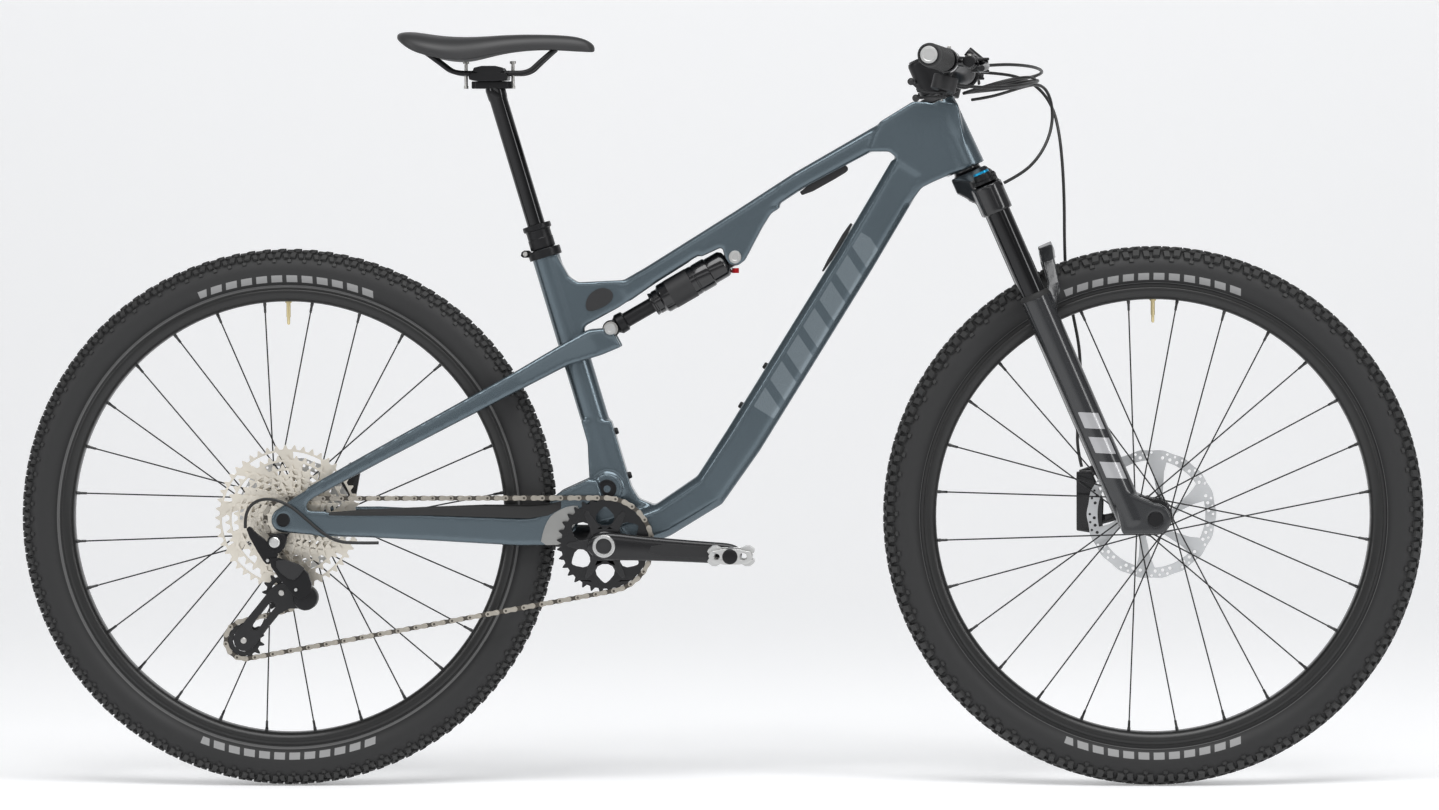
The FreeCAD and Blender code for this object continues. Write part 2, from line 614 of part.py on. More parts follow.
def chainring():
    """The toothed ring with five openings round its mount."""
    outline = [(BRACKET.x + x, BRACKET.z + z) for x, z in toothed_outline(int(dim("ring_teeth")))]
    ring = plate(outline, CHAIN_Y - 1, CHAIN_Y + 1)
    holes = [disc(BRACKET.x, BRACKET.z, 13, CHAIN_Y - 5, CHAIN_Y + 5)]
    for number in range(5):
        angle = math.radians(90 + 72 * number)
        holes.append(disc(BRACKET.x + 40 * math.cos(angle), BRACKET.z + 40 * math.sin(angle), 11.5,
                          CHAIN_Y - 5, CHAIN_Y + 5))
    return ring.cut(holes)


def pedal(side):
    """A clipless pedal on its axle, at one end of the cranks."""
    centre = pedal_centre(side)
    out = -side
    axle = rod(centre + V(0, out * 75, 0), centre + V(0, out * 150, 0), 7)
    low, high = sorted((out * 97, out * 152))
    body = plate([(centre.x - 31, centre.z - 3), (centre.x - 14, centre.z - 15), (centre.x + 22, centre.z - 15),
                  (centre.x + 33, centre.z - 4), (centre.x + 28, centre.z + 14),
                  (centre.x - 24, centre.z + 14)], low, high)
    return fuse(axle, body)


def derailleur_cage():
    """Outer and inner plates that hold the two pulleys, on the cage's pivot."""
    def arm(low, high):
        shape = plate([(-568, 250), (-556, 268), (-598, 288), (-618, 280), (-676, 218), (-682, 204),
                       (-668, 182), (-648, 180), (-634, 196)], low, high)
        return shape
    outer, inner = arm(-66.5, -63.5), arm(-49.5, -47.5)
    pins = [disc(point.x, point.z, 4, -66, -48) for point in (GUIDE_PULLEY, TENSION_PULLEY)]
    pivot = disc(CAGE_PIVOT.x, CAGE_PIVOT.z, 6, -67.5, -64)
    return fuse(outer, inner, pivot, *pins)


def pulley(centre):
    """A toothed pulley on its cage pin."""
    outline = [(centre.x + x, centre.z + z) for x, z in toothed_outline(int(dim("pulley_teeth")))]
    return plate(outline, CHAIN_Y - 1, CHAIN_Y + 1).cut(disc(centre.x, centre.z, 4 + GAP, -70, -40))


def chain_path(offset):
    """The closed line that lies offset outside the chain's pins, over its four wheels."""
    wheels = [(BRACKET, sprocket_radius(dim("ring_teeth")), -1),
              (TENSION_PULLEY, sprocket_radius(dim("pulley_teeth")), -1),
              (GUIDE_PULLEY, sprocket_radius(dim("pulley_teeth")), 1),
              (REAR_AXLE, sprocket_radius(dim("cog_teeth")), -1)]
    tangents = []
    for (centre, radius, turn), (next_centre, next_radius, next_turn) in zip(wheels, wheels[1:] + wheels[:1]):
        span = V(next_centre.x - centre.x, 0, next_centre.z - centre.z)
        radius, next_radius = radius - turn * offset, next_radius - next_turn * offset
        lean = math.asin(-(next_turn * next_radius - turn * radius) / span.Length)
        direction = math.atan2(span.z, span.x) + lean
        left = V(-math.sin(direction), 0, math.cos(direction))
        start = V(centre.x, 0, centre.z) - left * (turn * radius)
        end = V(next_centre.x, 0, next_centre.z) - left * (next_turn * next_radius)
        tangents.append((start, end))
    edges = []
    for number, (start, end) in enumerate(tangents):
        edges.append(Part.LineSegment(start, end).toShape())
        centre, radius, turn = wheels[(number + 1) % 4]
        leave = tangents[(number + 1) % 4][0]
        hub = V(centre.x, 0, centre.z)
        first = math.atan2(end.z - hub.z, end.x - hub.x)
        last = math.atan2(leave.z - hub.z, leave.x - hub.x)
        while turn * (last - first) < 0:
            last += turn * 2 * math.pi
        middle = (first + last) / 2
        reach = (end - hub).Length
        edges.append(Part.Arc(end, hub + V(reach * math.cos(middle), 0, reach * math.sin(middle)), leave).toShape())
    return Part.Wire(edges)


def chain():
    """The chain's two rows of side plates, each a closed band round the four wheels."""
    bands = []
    for low in (CHAIN_Y - 2.6, CHAIN_Y + 1.25):
        outside, inside = Part.Face(chain_path(3.6)), Part.Face(chain_path(-3.6))
        band = outside.cut(inside)
        band.translate(V(0, low, 0))
        bands.append(band.extrude(V(0, 1.35, 0)))
    return Part.makeCompound([solid for band in bands for solid in band.Solids])


# ---------------------------------------------------------------- wheels

def tyre_profile():
    """Half a tyre's wall from the left bead over the tread, then back inside, as (radius, y) points."""
    middle, outer = dim("tyre_radius") - dim("tyre_half_width"), dim("tyre_half_width")
    wall, bead = 3.5, math.radians(150)
    steps = 12
    angles = [-bead + 2 * bead * step / steps for step in range(steps + 1)]
    outside = [(middle + outer * math.cos(a), outer * math.sin(a)) for a in angles]
    inside = [(middle + (outer - wall) * math.cos(a), (outer - wall) * math.sin(a)) for a in angles]
    foot = dim("rim_hook_radius") - 5.5
    return outside + [(foot, outside[-1][1] - 0.2), (foot, 11.6)] + inside[::-1] + [(foot, -11.6),
                                                                                 (foot, -outside[-1][1] + 0.2)]


def rim_profile():
    """The rim's section as (radius, y) points."""
    bed, hook, half = dim("rim_bed_radius"), dim("rim_hook_radius"), dim("rim_half_width")
    side = [(bed, 8), (bed + 5, half - 2.5), (bed + 11, half), (hook, half), (hook, half - 2.3),
            (hook - 6, half - 2.3), (hook - 6, 10), (bed + 3.5, 7)]
    return side + [(radius, -y) for radius, y in reversed(side)]


def hub_profile(half, flanges, left_end):
    """A hub's section as (radius, y) points: a barrel with a flange at each given y."""
    right, left = flanges
    return [(dim("axle_radius") + GAP, -half), (12, -half), (12, right - 2), (25, right - 2),
            (25, right + 2), (14, right + 5), (14, left - 5), (25, left - 2), (25, left + 2),
            (14, left + 3), (14, left_end), (10, left_end), (10, half), (dim("axle_radius") + GAP, half)]


def spokes(axle, flanges):
    """Straight-pull spokes: each leaves its flange along a near-tangent and crosses to the rim bed."""
    count = int(dim("spoke_count"))
    start_radius, end_radius, lead = 25.85, dim("rim_bed_radius") - 0.6, math.radians(58)
    wires = []
    for number in range(count):
        flange = flanges[number % 2]
        forward = 1 if number % 4 < 2 else -1
        rim_angle = 2 * math.pi * (number + 0.5) / count
        hub_angle = rim_angle - forward * lead
        start_y = flange + 1.4 * forward
        start = axle + V(start_radius * math.cos(hub_angle), start_y, start_radius * math.sin(hub_angle))
        end_y = 3.0 if flange > 0 else -3.0
        end = axle + V(end_radius * math.cos(rim_angle), end_y, end_radius * math.sin(rim_angle))
        wires.append(rod(start, end, dim("spoke_radius")))
    return Part.makeCompound(wires)


def rotor(axle, radius, y):
    """A brake rotor: a slotted braking ring on curved arms."""
    half = dim("rotor_thickness") / 2
    body = disc(axle.x, axle.z, radius, y - half, y + half)
    holes = [disc(axle.x, axle.z, 14.2, y - 5, y + 5)]
    arms = 6
    for number in range(arms):
        start = 2 * math.pi * number / arms
        corners = [(24, 0.22), (24, 0.72), (radius - 18, 1.1), (radius - 18, 0.4)]
        holes.append(plate([(axle.x + r * math.cos(start + a), axle.z + r * math.sin(start + a))
                            for r, a in corners], y - 5, y + 5))
    return body.cut(holes)


def build_wheel(name, axle, hub_half, flanges, rotor_radius, rotor_y):
    """Tyre, rim, spokes, hub and rotor of one wheel."""
    revolved_body(name + "_tyre", tyre_profile(), axle)
    revolved_body(name + "_rim", rim_profile(), axle)
    revolved_body(name + "_hub", hub_profile(hub_half, flanges, rotor_y + 4), axle)
    feature(name + "_spokes", spokes(axle, flanges))
    feature(name + "_rotor", rotor(axle, rotor_radius, rotor_y))


# ---------------------------------------------------------------- fork

def leg_line(side, low, high, radius):
    """A round rod along one fork leg, side -1 right or 1 left."""
    ahead = dim("crown_offset")
    return rod(steer_at(low, ahead, side * LEG_Y), steer_at(high, ahead, side * LEG_Y), radius)


def fork_upper():
    """Steerer, crown and both stanchions, pressed into one unit."""
    steerer = fuse(rod(steer_at(CROWN - 7), steer_at(STEERER_TOP), 14.3),
                   rod(steer_at(CROWN - 7), steer_at(HEAD_LOW + 9.5), 19))
    crown = loft_between([(steer_at(CROWN, 0, -34), 11, 26), (steer_at(CROWN, 0, 34), 11, 26)])
    shoulders = []
    for side in (-1, 1):
        shoulder = loft_between([(steer_at(CROWN, 0, side * 33), 11, 26),
                                 (steer_at(CROWN - 21, dim("crown_offset"), side * LEG_Y), 19, 19)])
        socket = leg_line(side, SOCKET_LOW, CROWN - 15, 21.5)
        stanchion = leg_line(side, SEAL - 175, SOCKET_LOW + 2, dim("stanchion_radius"))
        shoulders += [shoulder, socket, stanchion]
    return fuse(crown, steerer, *shoulders)


def loft_between(stations):
    """A straight loft between upright rectangles across the bike: (centre, half up, half ahead)."""
    wires = []
    for centre, up, ahead in stations:
        corners = [centre + STEER_UP * (u * up) + STEER_AHEAD * (a * ahead)
                   for u, a in ((1, 1), (1, -1), (-1, -1), (-1, 1))]
        wires.append(Part.makePolygon(corners + corners[:1]))
    return Part.makeLoft(wires, True, True)


def lower_leg():
    """The left lower leg with its dropout, hollow for the stanchion."""
    leg = leg_line(1, 7, SEAL, dim("lower_leg_radius"))
    inner, outer = dim("front_hub_half") + GAP, LEG_Y + dim("lower_leg_radius") - 2
    dropout = disc(FRONT_AXLE.x, FRONT_AXLE.z, 21, inner, outer)
    web = plate([(FRONT_AXLE.x - 45, 352), (FRONT_AXLE.x - 8, 353), (FRONT_AXLE.x + 2, 393),
                 (FRONT_AXLE.x - 60, 420)], inner, outer)
    hub_room = box((FRONT_AXLE.x - 150, 0, 250), (FRONT_AXLE.x + 60, inner, 400))
    return fuse(leg, dropout, web, half_arch()).cut(hub_room)


def fork_lowers():
    """Both lower legs, the arch over the tyre and the dropouts, in one casting."""
    left = lower_leg()
    body = fuse(left, mirrored(left))
    tyre_room = disc(FRONT_AXLE.x, FRONT_AXLE.z, dim("tyre_radius") + 8, -36, 36)
    axle_room = disc(FRONT_AXLE.x, FRONT_AXLE.z, dim("axle_radius") + GAP, -120, 120)
    stanchion_rooms = [leg_line(side, SEAL - 300, SEAL + 2, dim("stanchion_radius") + GAP) for side in (-1, 1)]
    return body.cut([tyre_room, axle_room] + stanchion_rooms)


def half_arch():
    """The left half of the arch, from the leg's top up, ahead and inward to the middle plane."""
    stations = [(-26, 26, 62, 13, 9), (4, 46, 54, 9, 8), (32, 51, 40, 8, 9), (50, 56, 16, 7, 10),
                (53, 57, -0.5, 7, 10)]
    centres = [steer_at(SEAL + rise, ahead, y) for rise, ahead, y, _, _ in stations]
    wires = []
    for number, (centre, station) in enumerate(zip(centres, stations)):
        before, after = centres[max(number - 1, 0)], centres[min(number + 1, len(centres) - 1)]
        tangent = V(0, -1, 0) if number == len(centres) - 1 else (after - before).normalize()
        across = tangent.cross(STEER_AHEAD).normalize()
        fore = across.cross(tangent).normalize()
        half_across, half_fore = station[3:]
        corners = [centre + across * (a * half_across) + fore * (f * half_fore)
                   for a, f in ((1, 1), (1, -1), (-1, -1), (-1, 1))]
        wires.append(Part.makePolygon(corners + corners[:1]))
    return Part.makeLoft(wires, True, True)


def front_caliper():
    """The front brake caliper behind the left leg, astride the rotor, on two mounts."""
    block = plate([(FRONT_AXLE.x - 104, 350), (FRONT_AXLE.x - 68, 344), (FRONT_AXLE.x - 66, 392),
                   (FRONT_AXLE.x - 82, 432), (FRONT_AXLE.x - 104, 432)], 30, 56)
    slot = box((400, FRONT_ROTOR_Y - 1.8, 300), (700, FRONT_ROTOR_Y + 1.8, 480))
    mounts = fuse(plate([(FRONT_AXLE.x - 100, 418), (FRONT_AXLE.x - 62, 434), (FRONT_AXLE.x - 66, 446),
                         (FRONT_AXLE.x - 100, 434)], 50, 64),
                  plate([(FRONT_AXLE.x - 98, 350), (FRONT_AXLE.x - 40, 366), (FRONT_AXLE.x - 44, 376),
                         (FRONT_AXLE.x - 98, 366)], 50, 64))
    return biggest(fuse(block, mounts).cut([slot, NODES["fork_lowers"].Shape]))


# ---------------------------------------------------------------- cockpit

BAR_MIDDLE = V(dim("bar_x"), 0, dim("bar_z"))
BAR_BEND = V(dim("bar_x") - 6, 95, dim("bar_z") + 10)
GRIP_END = V(288, dim("bar_half"), 1000)
SWEPT = (GRIP_END - BAR_BEND).normalize()


def on_bar(y, side, ahead=0, up=0):
    """A point by the handlebar's outer part: distance from the middle plane, ahead and above."""
    point = BAR_BEND + SWEPT * ((y - BAR_BEND.y) / SWEPT.y)
    return V(point.x + ahead, point.y * side, point.z + up)


def swept(side):
    """The direction of the handlebar outwards."""
    return V(SWEPT.x, SWEPT.y * side, SWEPT.z)


HOUSING_AXIS = V(0.25, 0.1, 0.96).normalize()
SHIFTER_PIVOT = on_bar(200, -1, -6, -30)
REMOTE_PIVOT = on_bar(200, 1, 6, -30)


def handlebar():
    """A rising, swept-back bar with a thick middle."""
    halves = []
    for side in (-1, 1):
        shoulder = V(BAR_MIDDLE.x, 52 * side, BAR_MIDDLE.z)
        bend = V(BAR_BEND.x, BAR_BEND.y * side, BAR_BEND.z)
        taper = Part.makeCone(dim("bar_clamp_radius"), dim("bar_radius"), (bend - shoulder).Length, shoulder,
                              bend - shoulder)
        end = on_bar(dim("bar_half") - 3, side)
        ball = Part.makeSphere(dim("bar_radius"), bend)
        halves += [taper, ball, rod(bend, end, dim("bar_radius"))]
    clamp = rod(V(BAR_MIDDLE.x, -52, BAR_MIDDLE.z), V(BAR_MIDDLE.x, 52, BAR_MIDDLE.z), dim("bar_clamp_radius"))
    return fuse(clamp, *halves)


def stem():
    """The stem: a clamp on the steerer, a body and a clamp round the handlebar."""
    low, high = steer_at(HEAD_TOP + 12), steer_at(HEAD_TOP + 58)
    neck = rod(low, high, 18)
    grip = disc(BAR_MIDDLE.x, BAR_MIDDLE.z, 21, -22, 22)
    middle = steer_at(HEAD_TOP + 36)
    body = loft((middle.x, 0, middle.z, 8, 18, 17), (BAR_MIDDLE.x, 0, BAR_MIDDLE.z, 8, 17, 20))
    cap = rod(high - STEER_UP * 1, high + STEER_UP * 3, 17)
    whole = fuse(neck, grip, body, cap)
    return whole.cut([rod(low - STEER_UP * 5, steer_at(STEERER_TOP) + STEER_UP * GAP, 14.3 + GAP),
                      disc(BAR_MIDDLE.x, BAR_MIDDLE.z, dim("bar_clamp_radius") + GAP, -60, 60)])


def grips():
    """Both grips, each with its inner locking ring."""
    solids = []
    for side in (-1, 1):
        inner, end = on_bar(dim("bar_half") - dim("grip_length"), side), on_bar(dim("bar_half"), side)
        out = swept(side)
        ring = rod(inner - out * 8, inner, 14.5)
        sleeve = fuse(rod(inner, end, dim("grip_radius")), ring)
        room = rod(inner - out * 12, on_bar(dim("bar_half") - 3, side) + out * 0.05, dim("bar_radius") + GAP)
        solids.append(sleeve.cut(room))
    return Part.makeCompound(solids)


def bar_room(side):
    """The space that the handlebar takes, with clearance, on one side."""
    return rod(on_bar(100, side), on_bar(400, side), dim("bar_radius") + GAP)


def lever_pivot(side):
    """The middle of a brake lever's hinge."""
    return on_bar(214, side, 49, -6)


def brake_clamps():
    """Both brake lever housings: a clamp on the bar, a master cylinder and a fork for the lever."""
    solids = []
    for side in (-1, 1):
        out = swept(side)
        clamp = rod(on_bar(226, side) - out * 6, on_bar(226, side) + out * 6, 17)
        bridge = rod(on_bar(226, side, 10, -1), on_bar(216, side, 30, -2), 7)
        cylinder_body = rod(on_bar(170, side, 30, -1), on_bar(236, side, 32, -2), 9)
        reservoir = rod(on_bar(196, side, 24, 14), on_bar(196, side, 48, -6), 7)
        pivot = lever_pivot(side)
        fork = box((pivot.x - 18, pivot.y - 7, pivot.z - 10), (pivot.x + 7, pivot.y + 7, pivot.z + 10))
        slot = box((pivot.x - 7, pivot.y - 8, pivot.z - 6.1), (pivot.x + 8, pivot.y + 8, pivot.z + 6.1))
        pin = rod(pivot - V(0, 0, 10), pivot + V(0, 0, 10), 2.5)
        body = fuse(clamp, bridge, cylinder_body, reservoir, fork.cut(slot), pin)
        solids.append(biggest(body.cut(bar_room(side))))
    return Part.makeCompound(solids)


def brake_lever(side):
    """A brake lever blade, hinged ahead of the master cylinder and reaching out before the grip."""
    pivot = lever_pivot(side)
    path = [pivot + V(0, 2 * side, 0), on_bar(238, side, 56, -8), on_bar(270, side, 58, -12),
            on_bar(296, side, 54, -15), on_bar(318, side, 60, -15)]
    hub = rod(pivot - V(0, 0, 6), pivot + V(0, 0, 6), 6)
    return fuse(hub, round_bar(path, 4.5)).cut(rod(pivot - V(0, 0, 12), pivot + V(0, 0, 12), 2.5 + GAP))


def thumb_housing(pivot, side, radius, thickness, pin_length):
    """A housing hung below the bar by a clamp ring, with a pin under it for its paddles."""
    ring = rod(on_bar(200, side) - swept(side) * 5, on_bar(200, side) + swept(side) * 5, 15.5)
    strut = rod(on_bar(200, side, 0, -12), pivot, 6)
    pin = rod(pivot, pivot - HOUSING_AXIS * pin_length, 2)
    body = fuse(ring, strut, disc_tilted(pivot, radius, thickness), pin)
    return biggest(body.cut([bar_room(side), NODES["brake_clamps"].Shape]))


def disc_tilted(middle, radius, thickness):
    """A round housing whose axis leans out from the bike's up direction."""
    return Part.makeCylinder(radius, thickness, middle - HOUSING_AXIS * (thickness / 2), HOUSING_AXIS)


def thumb_paddle(pivot, height, knee, tip, pad_radius):
    """A thumb paddle: a hub below a housing and a bent blade that ends in a pad behind it."""
    hub_at = pivot + HOUSING_AXIS * height
    blade = round_bar([hub_at, hub_at + V(*knee), hub_at + V(*tip)], 2)
    body = fuse(disc_tilted(hub_at, 6, 4), blade, Part.makeSphere(pad_radius, hub_at + V(*tip)))
    return body.cut(rod(pivot, pivot - HOUSING_AXIS * 30, 2 + GAP))


# ---------------------------------------------------------------- saddle and seatpost

def dropper_stanchion():
    """The sliding tube of the seatpost and its head."""
    low, high = seat_at(650), seat_at(968)
    head = box((-340, -12, 968), (-288, 12, 976))
    return fuse(rod(low, high, dim("post_radius")), rod(seat_at(956), seat_at(972), 14), head)


def saddle_clamp():
    """The lower cradle and the upper plates that hold the rails."""
    cradle = box((-342, -30, 976 + GAP), (-292, 30, 987))
    top = box((-339, -30, 987), (-295, 30, 997))
    rails = [rod(V(-400, y, 987), V(-200, y, 987), 3.5 + GAP) for y in (-22, 22)]
    return fuse(cradle, top).cut(rails)


def saddle_rails():
    """The saddle's two rails, straight in the clamp and bent up to the shell at both ends."""
    path = [V(-402, 0, 1014), V(-366, 0, 987), V(-268, 0, 987), V(-230, 0, 1017)]
    return [round_bar([point + V(0, y, 0) for point in path], 3.5) for y in (-22, 22)]


def saddle():
    """Shell and padding of the saddle, one closed form from tail to nose."""
    stations = [(-443, 1038, 5, 40), (-425, 1033, 11, 68), (-385, 1022, 14, 74), (-345, 1020, 16, 62),
                (-300, 1027, 12, 40), (-250, 1031, 10, 27), (-205, 1030, 10, 22), (-180, 1027, 8, 18),
                (-172, 1022, 5, 10)]
    wires = [section(x, 0, z, 0, half_height, half_width, 0.6) for x, z, half_height, half_width in stations]
    body = Part.makeLoft(wires, True, True)
    hollow = box((-395, -30, 990), (-235, 30, 1013))
    return body.cut([hollow, NODES["saddle_rails_and_clamp"].Shape])


# ---------------------------------------------------------------- cables

def control_cables():
    """Casings that loop ahead of the bar from the levers into the headset cover."""
    routes = {
        "shift_casing": [(322, -182, 965), (350, -160, 962), (384, -132, 962), (416, -96, 966), (438, -52, 971),
                         (441, -6, 975), (426, 34, 974), (396, 50, 969), (362, 38, 962), (339, 14, 957.5)],
        "rear_brake_hose": [(366, -166, 991), (388, -146, 993), (412, -118, 993), (434, -82, 991),
                            (446, -38, 987), (444, 8, 983), (428, 46, 979), (400, 62, 974), (366, 46, 966),
                            (338, 22, 957.5)],
        "seatpost_casing": [(346, 184, 962), (370, 164, 964), (396, 138, 966), (420, 104, 969), (436, 62, 973),
                            (438, 18, 978), (424, -24, 979), (396, -44, 974), (364, -32, 965),
                            (339, -8, 957.5)],
    }
    return Part.makeCompound([cable(name, points, dim("cable_radius")) for name, points in routes.items()])


def fork_cable():
    """The lockout casing, from the left remote round the front to the top of the right leg."""
    route = [(352, 196, 952), (376, 174, 955), (402, 142, 962), (426, 104, 969), (443, 62, 971),
             (453, 22, 962), (459, -10, 944), (460, -34, 920), (454, -52, 894), (440, -63, 868),
             (418, -68, 846), (392, -69, 833)]
    return cable("fork_cable", route, dim("cable_radius"))


def front_brake_hose():
    """The front hose, from the left lever down ahead of the head tube to the caliper."""
    route = [(366, 172, 990), (392, 156, 988), (420, 134, 982), (446, 106, 966), (464, 78, 938), (472, 56, 900),
             (476, 46, 855), (478, 43, 805), (478, 43, 755), (480, 43.5, 700), (490, 43.5, 650),
             (500, 43.5, 600), (500, 43.5, 545), (496, 46, 495), (496, 50, 463), (502, 51, 438.5)]
    return cable("front_brake_hose", route, dim("cable_radius"))


# ---------------------------------------------------------------- the whole bike

def build_swingarm():
    """Sub-parts on the swingarm, with the derailleur."""
    feature("rear_triangle", rear_triangle())
    feature("yoke_bolts", yoke_bolts())
    keep(cylinder("rear_through_axle", "dims.rear_axle_radius", "166", REAR_AXLE), "rear_axle")
    feature("derailleur_hanger", derailleur_hanger())
    feature("derailleur_body", derailleur_body())
    feature("derailleur_cage", derailleur_cage())
    feature("guide_pulley", pulley(GUIDE_PULLEY))
    feature("tension_pulley", pulley(TENSION_PULLEY))
    feature("rear_caliper", rear_caliper())
    feature("rear_shift_cable", rear_shift_cable())


def build_shock():
    """Sub-parts of the rear shock."""
    feature("shock_can", shock_can())
    feature("rebound_knob", rebound_knob())
    feature("shock_shaft", shock_shaft())


def build_drivetrain():
    """Cassette, cranks, chainring, pedals and chain."""
    feature("cassette", cassette())
    feature("crank_right", crank_arm(1))
    feature("crank_left", crank_arm(-1))
    feature("chainring", chainring())
    feature("pedal_right", pedal(1))
    feature("pedal_left", pedal(-1))
    feature("chain", chain())


def build_fork():
    """Fork, front axle and caliper."""
    feature("fork_upper", fork_upper())
    feature("fork_lowers", fork_lowers())
    keep(cylinder("front_through_axle", "dims.axle_radius", "2 * dims.front_hub_half + 68", FRONT_AXLE),
         "front_axle")
    feature("front_caliper", front_caliper())


def build_cockpit():
    """Handlebar, stem, grips, levers, shifter and cables."""
    feature("stem", stem())
    feature("handlebar", handlebar())
    feature("grips", grips())
    feature("brake_clamps", brake_clamps())
    feature("brake_lever_right", brake_lever(-1))
    feature("brake_lever_left", brake_lever(1))
    feature("shifter_body", thumb_housing(SHIFTER_PIVOT, -1, 17, 20, 21))
    feature("shift_paddle_upper", thumb_paddle(SHIFTER_PIVOT, -12.2, (-26, -16, 0), (-42, -28, 14), 5))
    feature("shift_paddle_lower", thumb_paddle(SHIFTER_PIVOT, -18.5, (-22, -10, -1), (-34, -26, -2), 5))
    feature("remote_body", thumb_housing(REMOTE_PIVOT, 1, 14, 18, 14))
    feature("dropper_lever", thumb_paddle(REMOTE_PIVOT, -11.2, (-22, 12, 0), (-38, 24, 4), 6))
    feature("control_cables", control_cables())
    feature("fork_cable", fork_cable())
    feature("front_brake_hose", front_brake_hose())


def build_seat():
    """Seatpost slider, clamp, rails and saddle."""
    feature("dropper_stanchion", dropper_stanchion())
    feature("saddle_rails_and_clamp", Part.makeCompound([saddle_clamp()] + saddle_rails()))
    feature("saddle", saddle())


def check_document():
    """Stops if an object of the document failed or a sub-part has no valid shape."""
    doc.recompute()
    for obj in doc.Objects:
        if "Invalid" in obj.State or "Error" in obj.State:
            raise RuntimeError("%s is in state %s" % (obj.Label, obj.State))
    for label, obj in NODES.items():
        if obj.Shape.isNull() or not obj.Shape.isValid() or not obj.Shape.Solids:
            raise RuntimeError("%s has no valid solid" % label)


def write_parts():
    """Writes each sub-part to its own STEP file."""
    os.makedirs("parts", exist_ok=True)
    for label, obj in NODES.items():
        obj.Shape.exportStep("parts/%s.step" % label)
    print("%d sub-parts written" % len(NODES))


build_frame()
build_wheel("rear", REAR_AXLE, dim("rear_hub_half") - 0.1, REAR_FLANGES, dim("rear_rotor_radius"), REAR_ROTOR_Y)
build_wheel("front", FRONT_AXLE, dim("front_hub_half") - 0.1, FRONT_FLANGES, dim("front_rotor_radius"),
            FRONT_ROTOR_Y)
build_swingarm()
build_shock()
build_drivetrain()
build_fork()
build_cockpit()
build_seat()
check_document()
write_parts()
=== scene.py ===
"""Looks of the full-suspension mountain bike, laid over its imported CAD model.

Lengths inside this script are millimetres in the bike's own frame: +X forwards, +Y to the rider's left,
+Z up, origin on the ground midway between the axles.  Form.piece turns them into metres.
"""
import json
import math

import bmesh
import bpy
from mathutils import Matrix, Vector
from mathutils.geometry import tessellate_polygon


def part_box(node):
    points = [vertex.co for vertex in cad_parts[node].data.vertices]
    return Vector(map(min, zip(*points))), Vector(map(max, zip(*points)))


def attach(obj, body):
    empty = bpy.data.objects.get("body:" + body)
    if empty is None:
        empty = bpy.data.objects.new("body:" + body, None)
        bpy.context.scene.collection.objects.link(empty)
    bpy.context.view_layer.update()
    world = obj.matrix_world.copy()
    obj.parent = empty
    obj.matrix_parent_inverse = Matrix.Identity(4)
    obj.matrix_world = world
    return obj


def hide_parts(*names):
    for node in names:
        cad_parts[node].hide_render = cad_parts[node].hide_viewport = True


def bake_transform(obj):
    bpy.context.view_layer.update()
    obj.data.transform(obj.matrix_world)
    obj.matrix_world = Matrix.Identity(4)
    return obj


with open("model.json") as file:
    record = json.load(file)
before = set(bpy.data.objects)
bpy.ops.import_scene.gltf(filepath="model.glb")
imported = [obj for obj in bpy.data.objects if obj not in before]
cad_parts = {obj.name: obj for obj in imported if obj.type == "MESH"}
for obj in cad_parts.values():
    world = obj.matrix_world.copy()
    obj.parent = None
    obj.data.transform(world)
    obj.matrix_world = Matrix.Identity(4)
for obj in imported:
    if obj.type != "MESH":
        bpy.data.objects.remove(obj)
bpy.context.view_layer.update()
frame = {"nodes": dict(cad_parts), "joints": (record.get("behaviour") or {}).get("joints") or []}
SCENE = bpy.context.scene
MM = 0.001
COARSE = 1


# ---------------------------------------------------------------- places, read from the frame

def joint_at(name):
    """A joint's point in millimetres."""
    return Vector(next(j for j in frame["joints"] if j["name"] == name)["pos_m"]) / MM


def joint_axis(name):
    """A joint's direction."""
    return Vector(next(j for j in frame["joints"] if j["name"] == name)["axis"]).normalized()


def corners(node):
    """The lowest and highest corners of a CAD node in millimetres."""
    low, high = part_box(node)
    return Vector(low) / MM, Vector(high) / MM


REAR_AXLE = joint_at("rear_wheel_spin")
FRONT_AXLE = joint_at("front_wheel_spin")
BRACKET = joint_at("crank_spin")
PIVOT = joint_at("swingarm_pivot")
SHOCK_FRONT = joint_at("shock_pivot")
SHOCK_ALONG = -joint_axis("shock_slide")
SHOCK_REAR = sum(corners("yoke_bolts"), Vector()) / 2
GUIDE_PULLEY = joint_at("guide_pulley_spin")
TENSION_PULLEY = joint_at("tension_pulley_spin")
CAGE_PIVOT = joint_at("cage_pivot")
STEER_UP = joint_axis("steering_turn")
STEER_AHEAD = Vector((STEER_UP.z, 0, -STEER_UP.x))
STEER_POINT = joint_at("steering_turn")
STEER_FOOT = STEER_POINT + STEER_UP * (FRONT_AXLE - STEER_POINT).dot(STEER_UP)
SEAT_UP = -joint_axis("seatpost_slide")
Y_AXIS = Vector((0, 1, 0))
CHAIN_Y = GUIDE_PULLEY.y
PITCH = 12.7
RING_TEETH = 32
PULLEY_TEETH = 13
SPROCKETS = (10, 12, 14, 16, 18, 21, 24, 28, 32, 36, 42, 49)
SPROCKET_IN_USE = 2
SPROCKET_SPACING = 3.7
SPROCKET_HALF = 0.8
TYRE_RADIUS = 373
TYRE_MIDDLE = 343
CARCASS = 26.5
CASING = 4.4
LEG_Y = 68
LEG_AHEAD = 15
STANCHION_RADIUS = 17.04
HEAD_LOW = 542
HEAD_TOP = HEAD_LOW + 103
SEAL = 345
SOCKET_LOW = HEAD_LOW - 71
CROWN = HEAD_LOW - 16
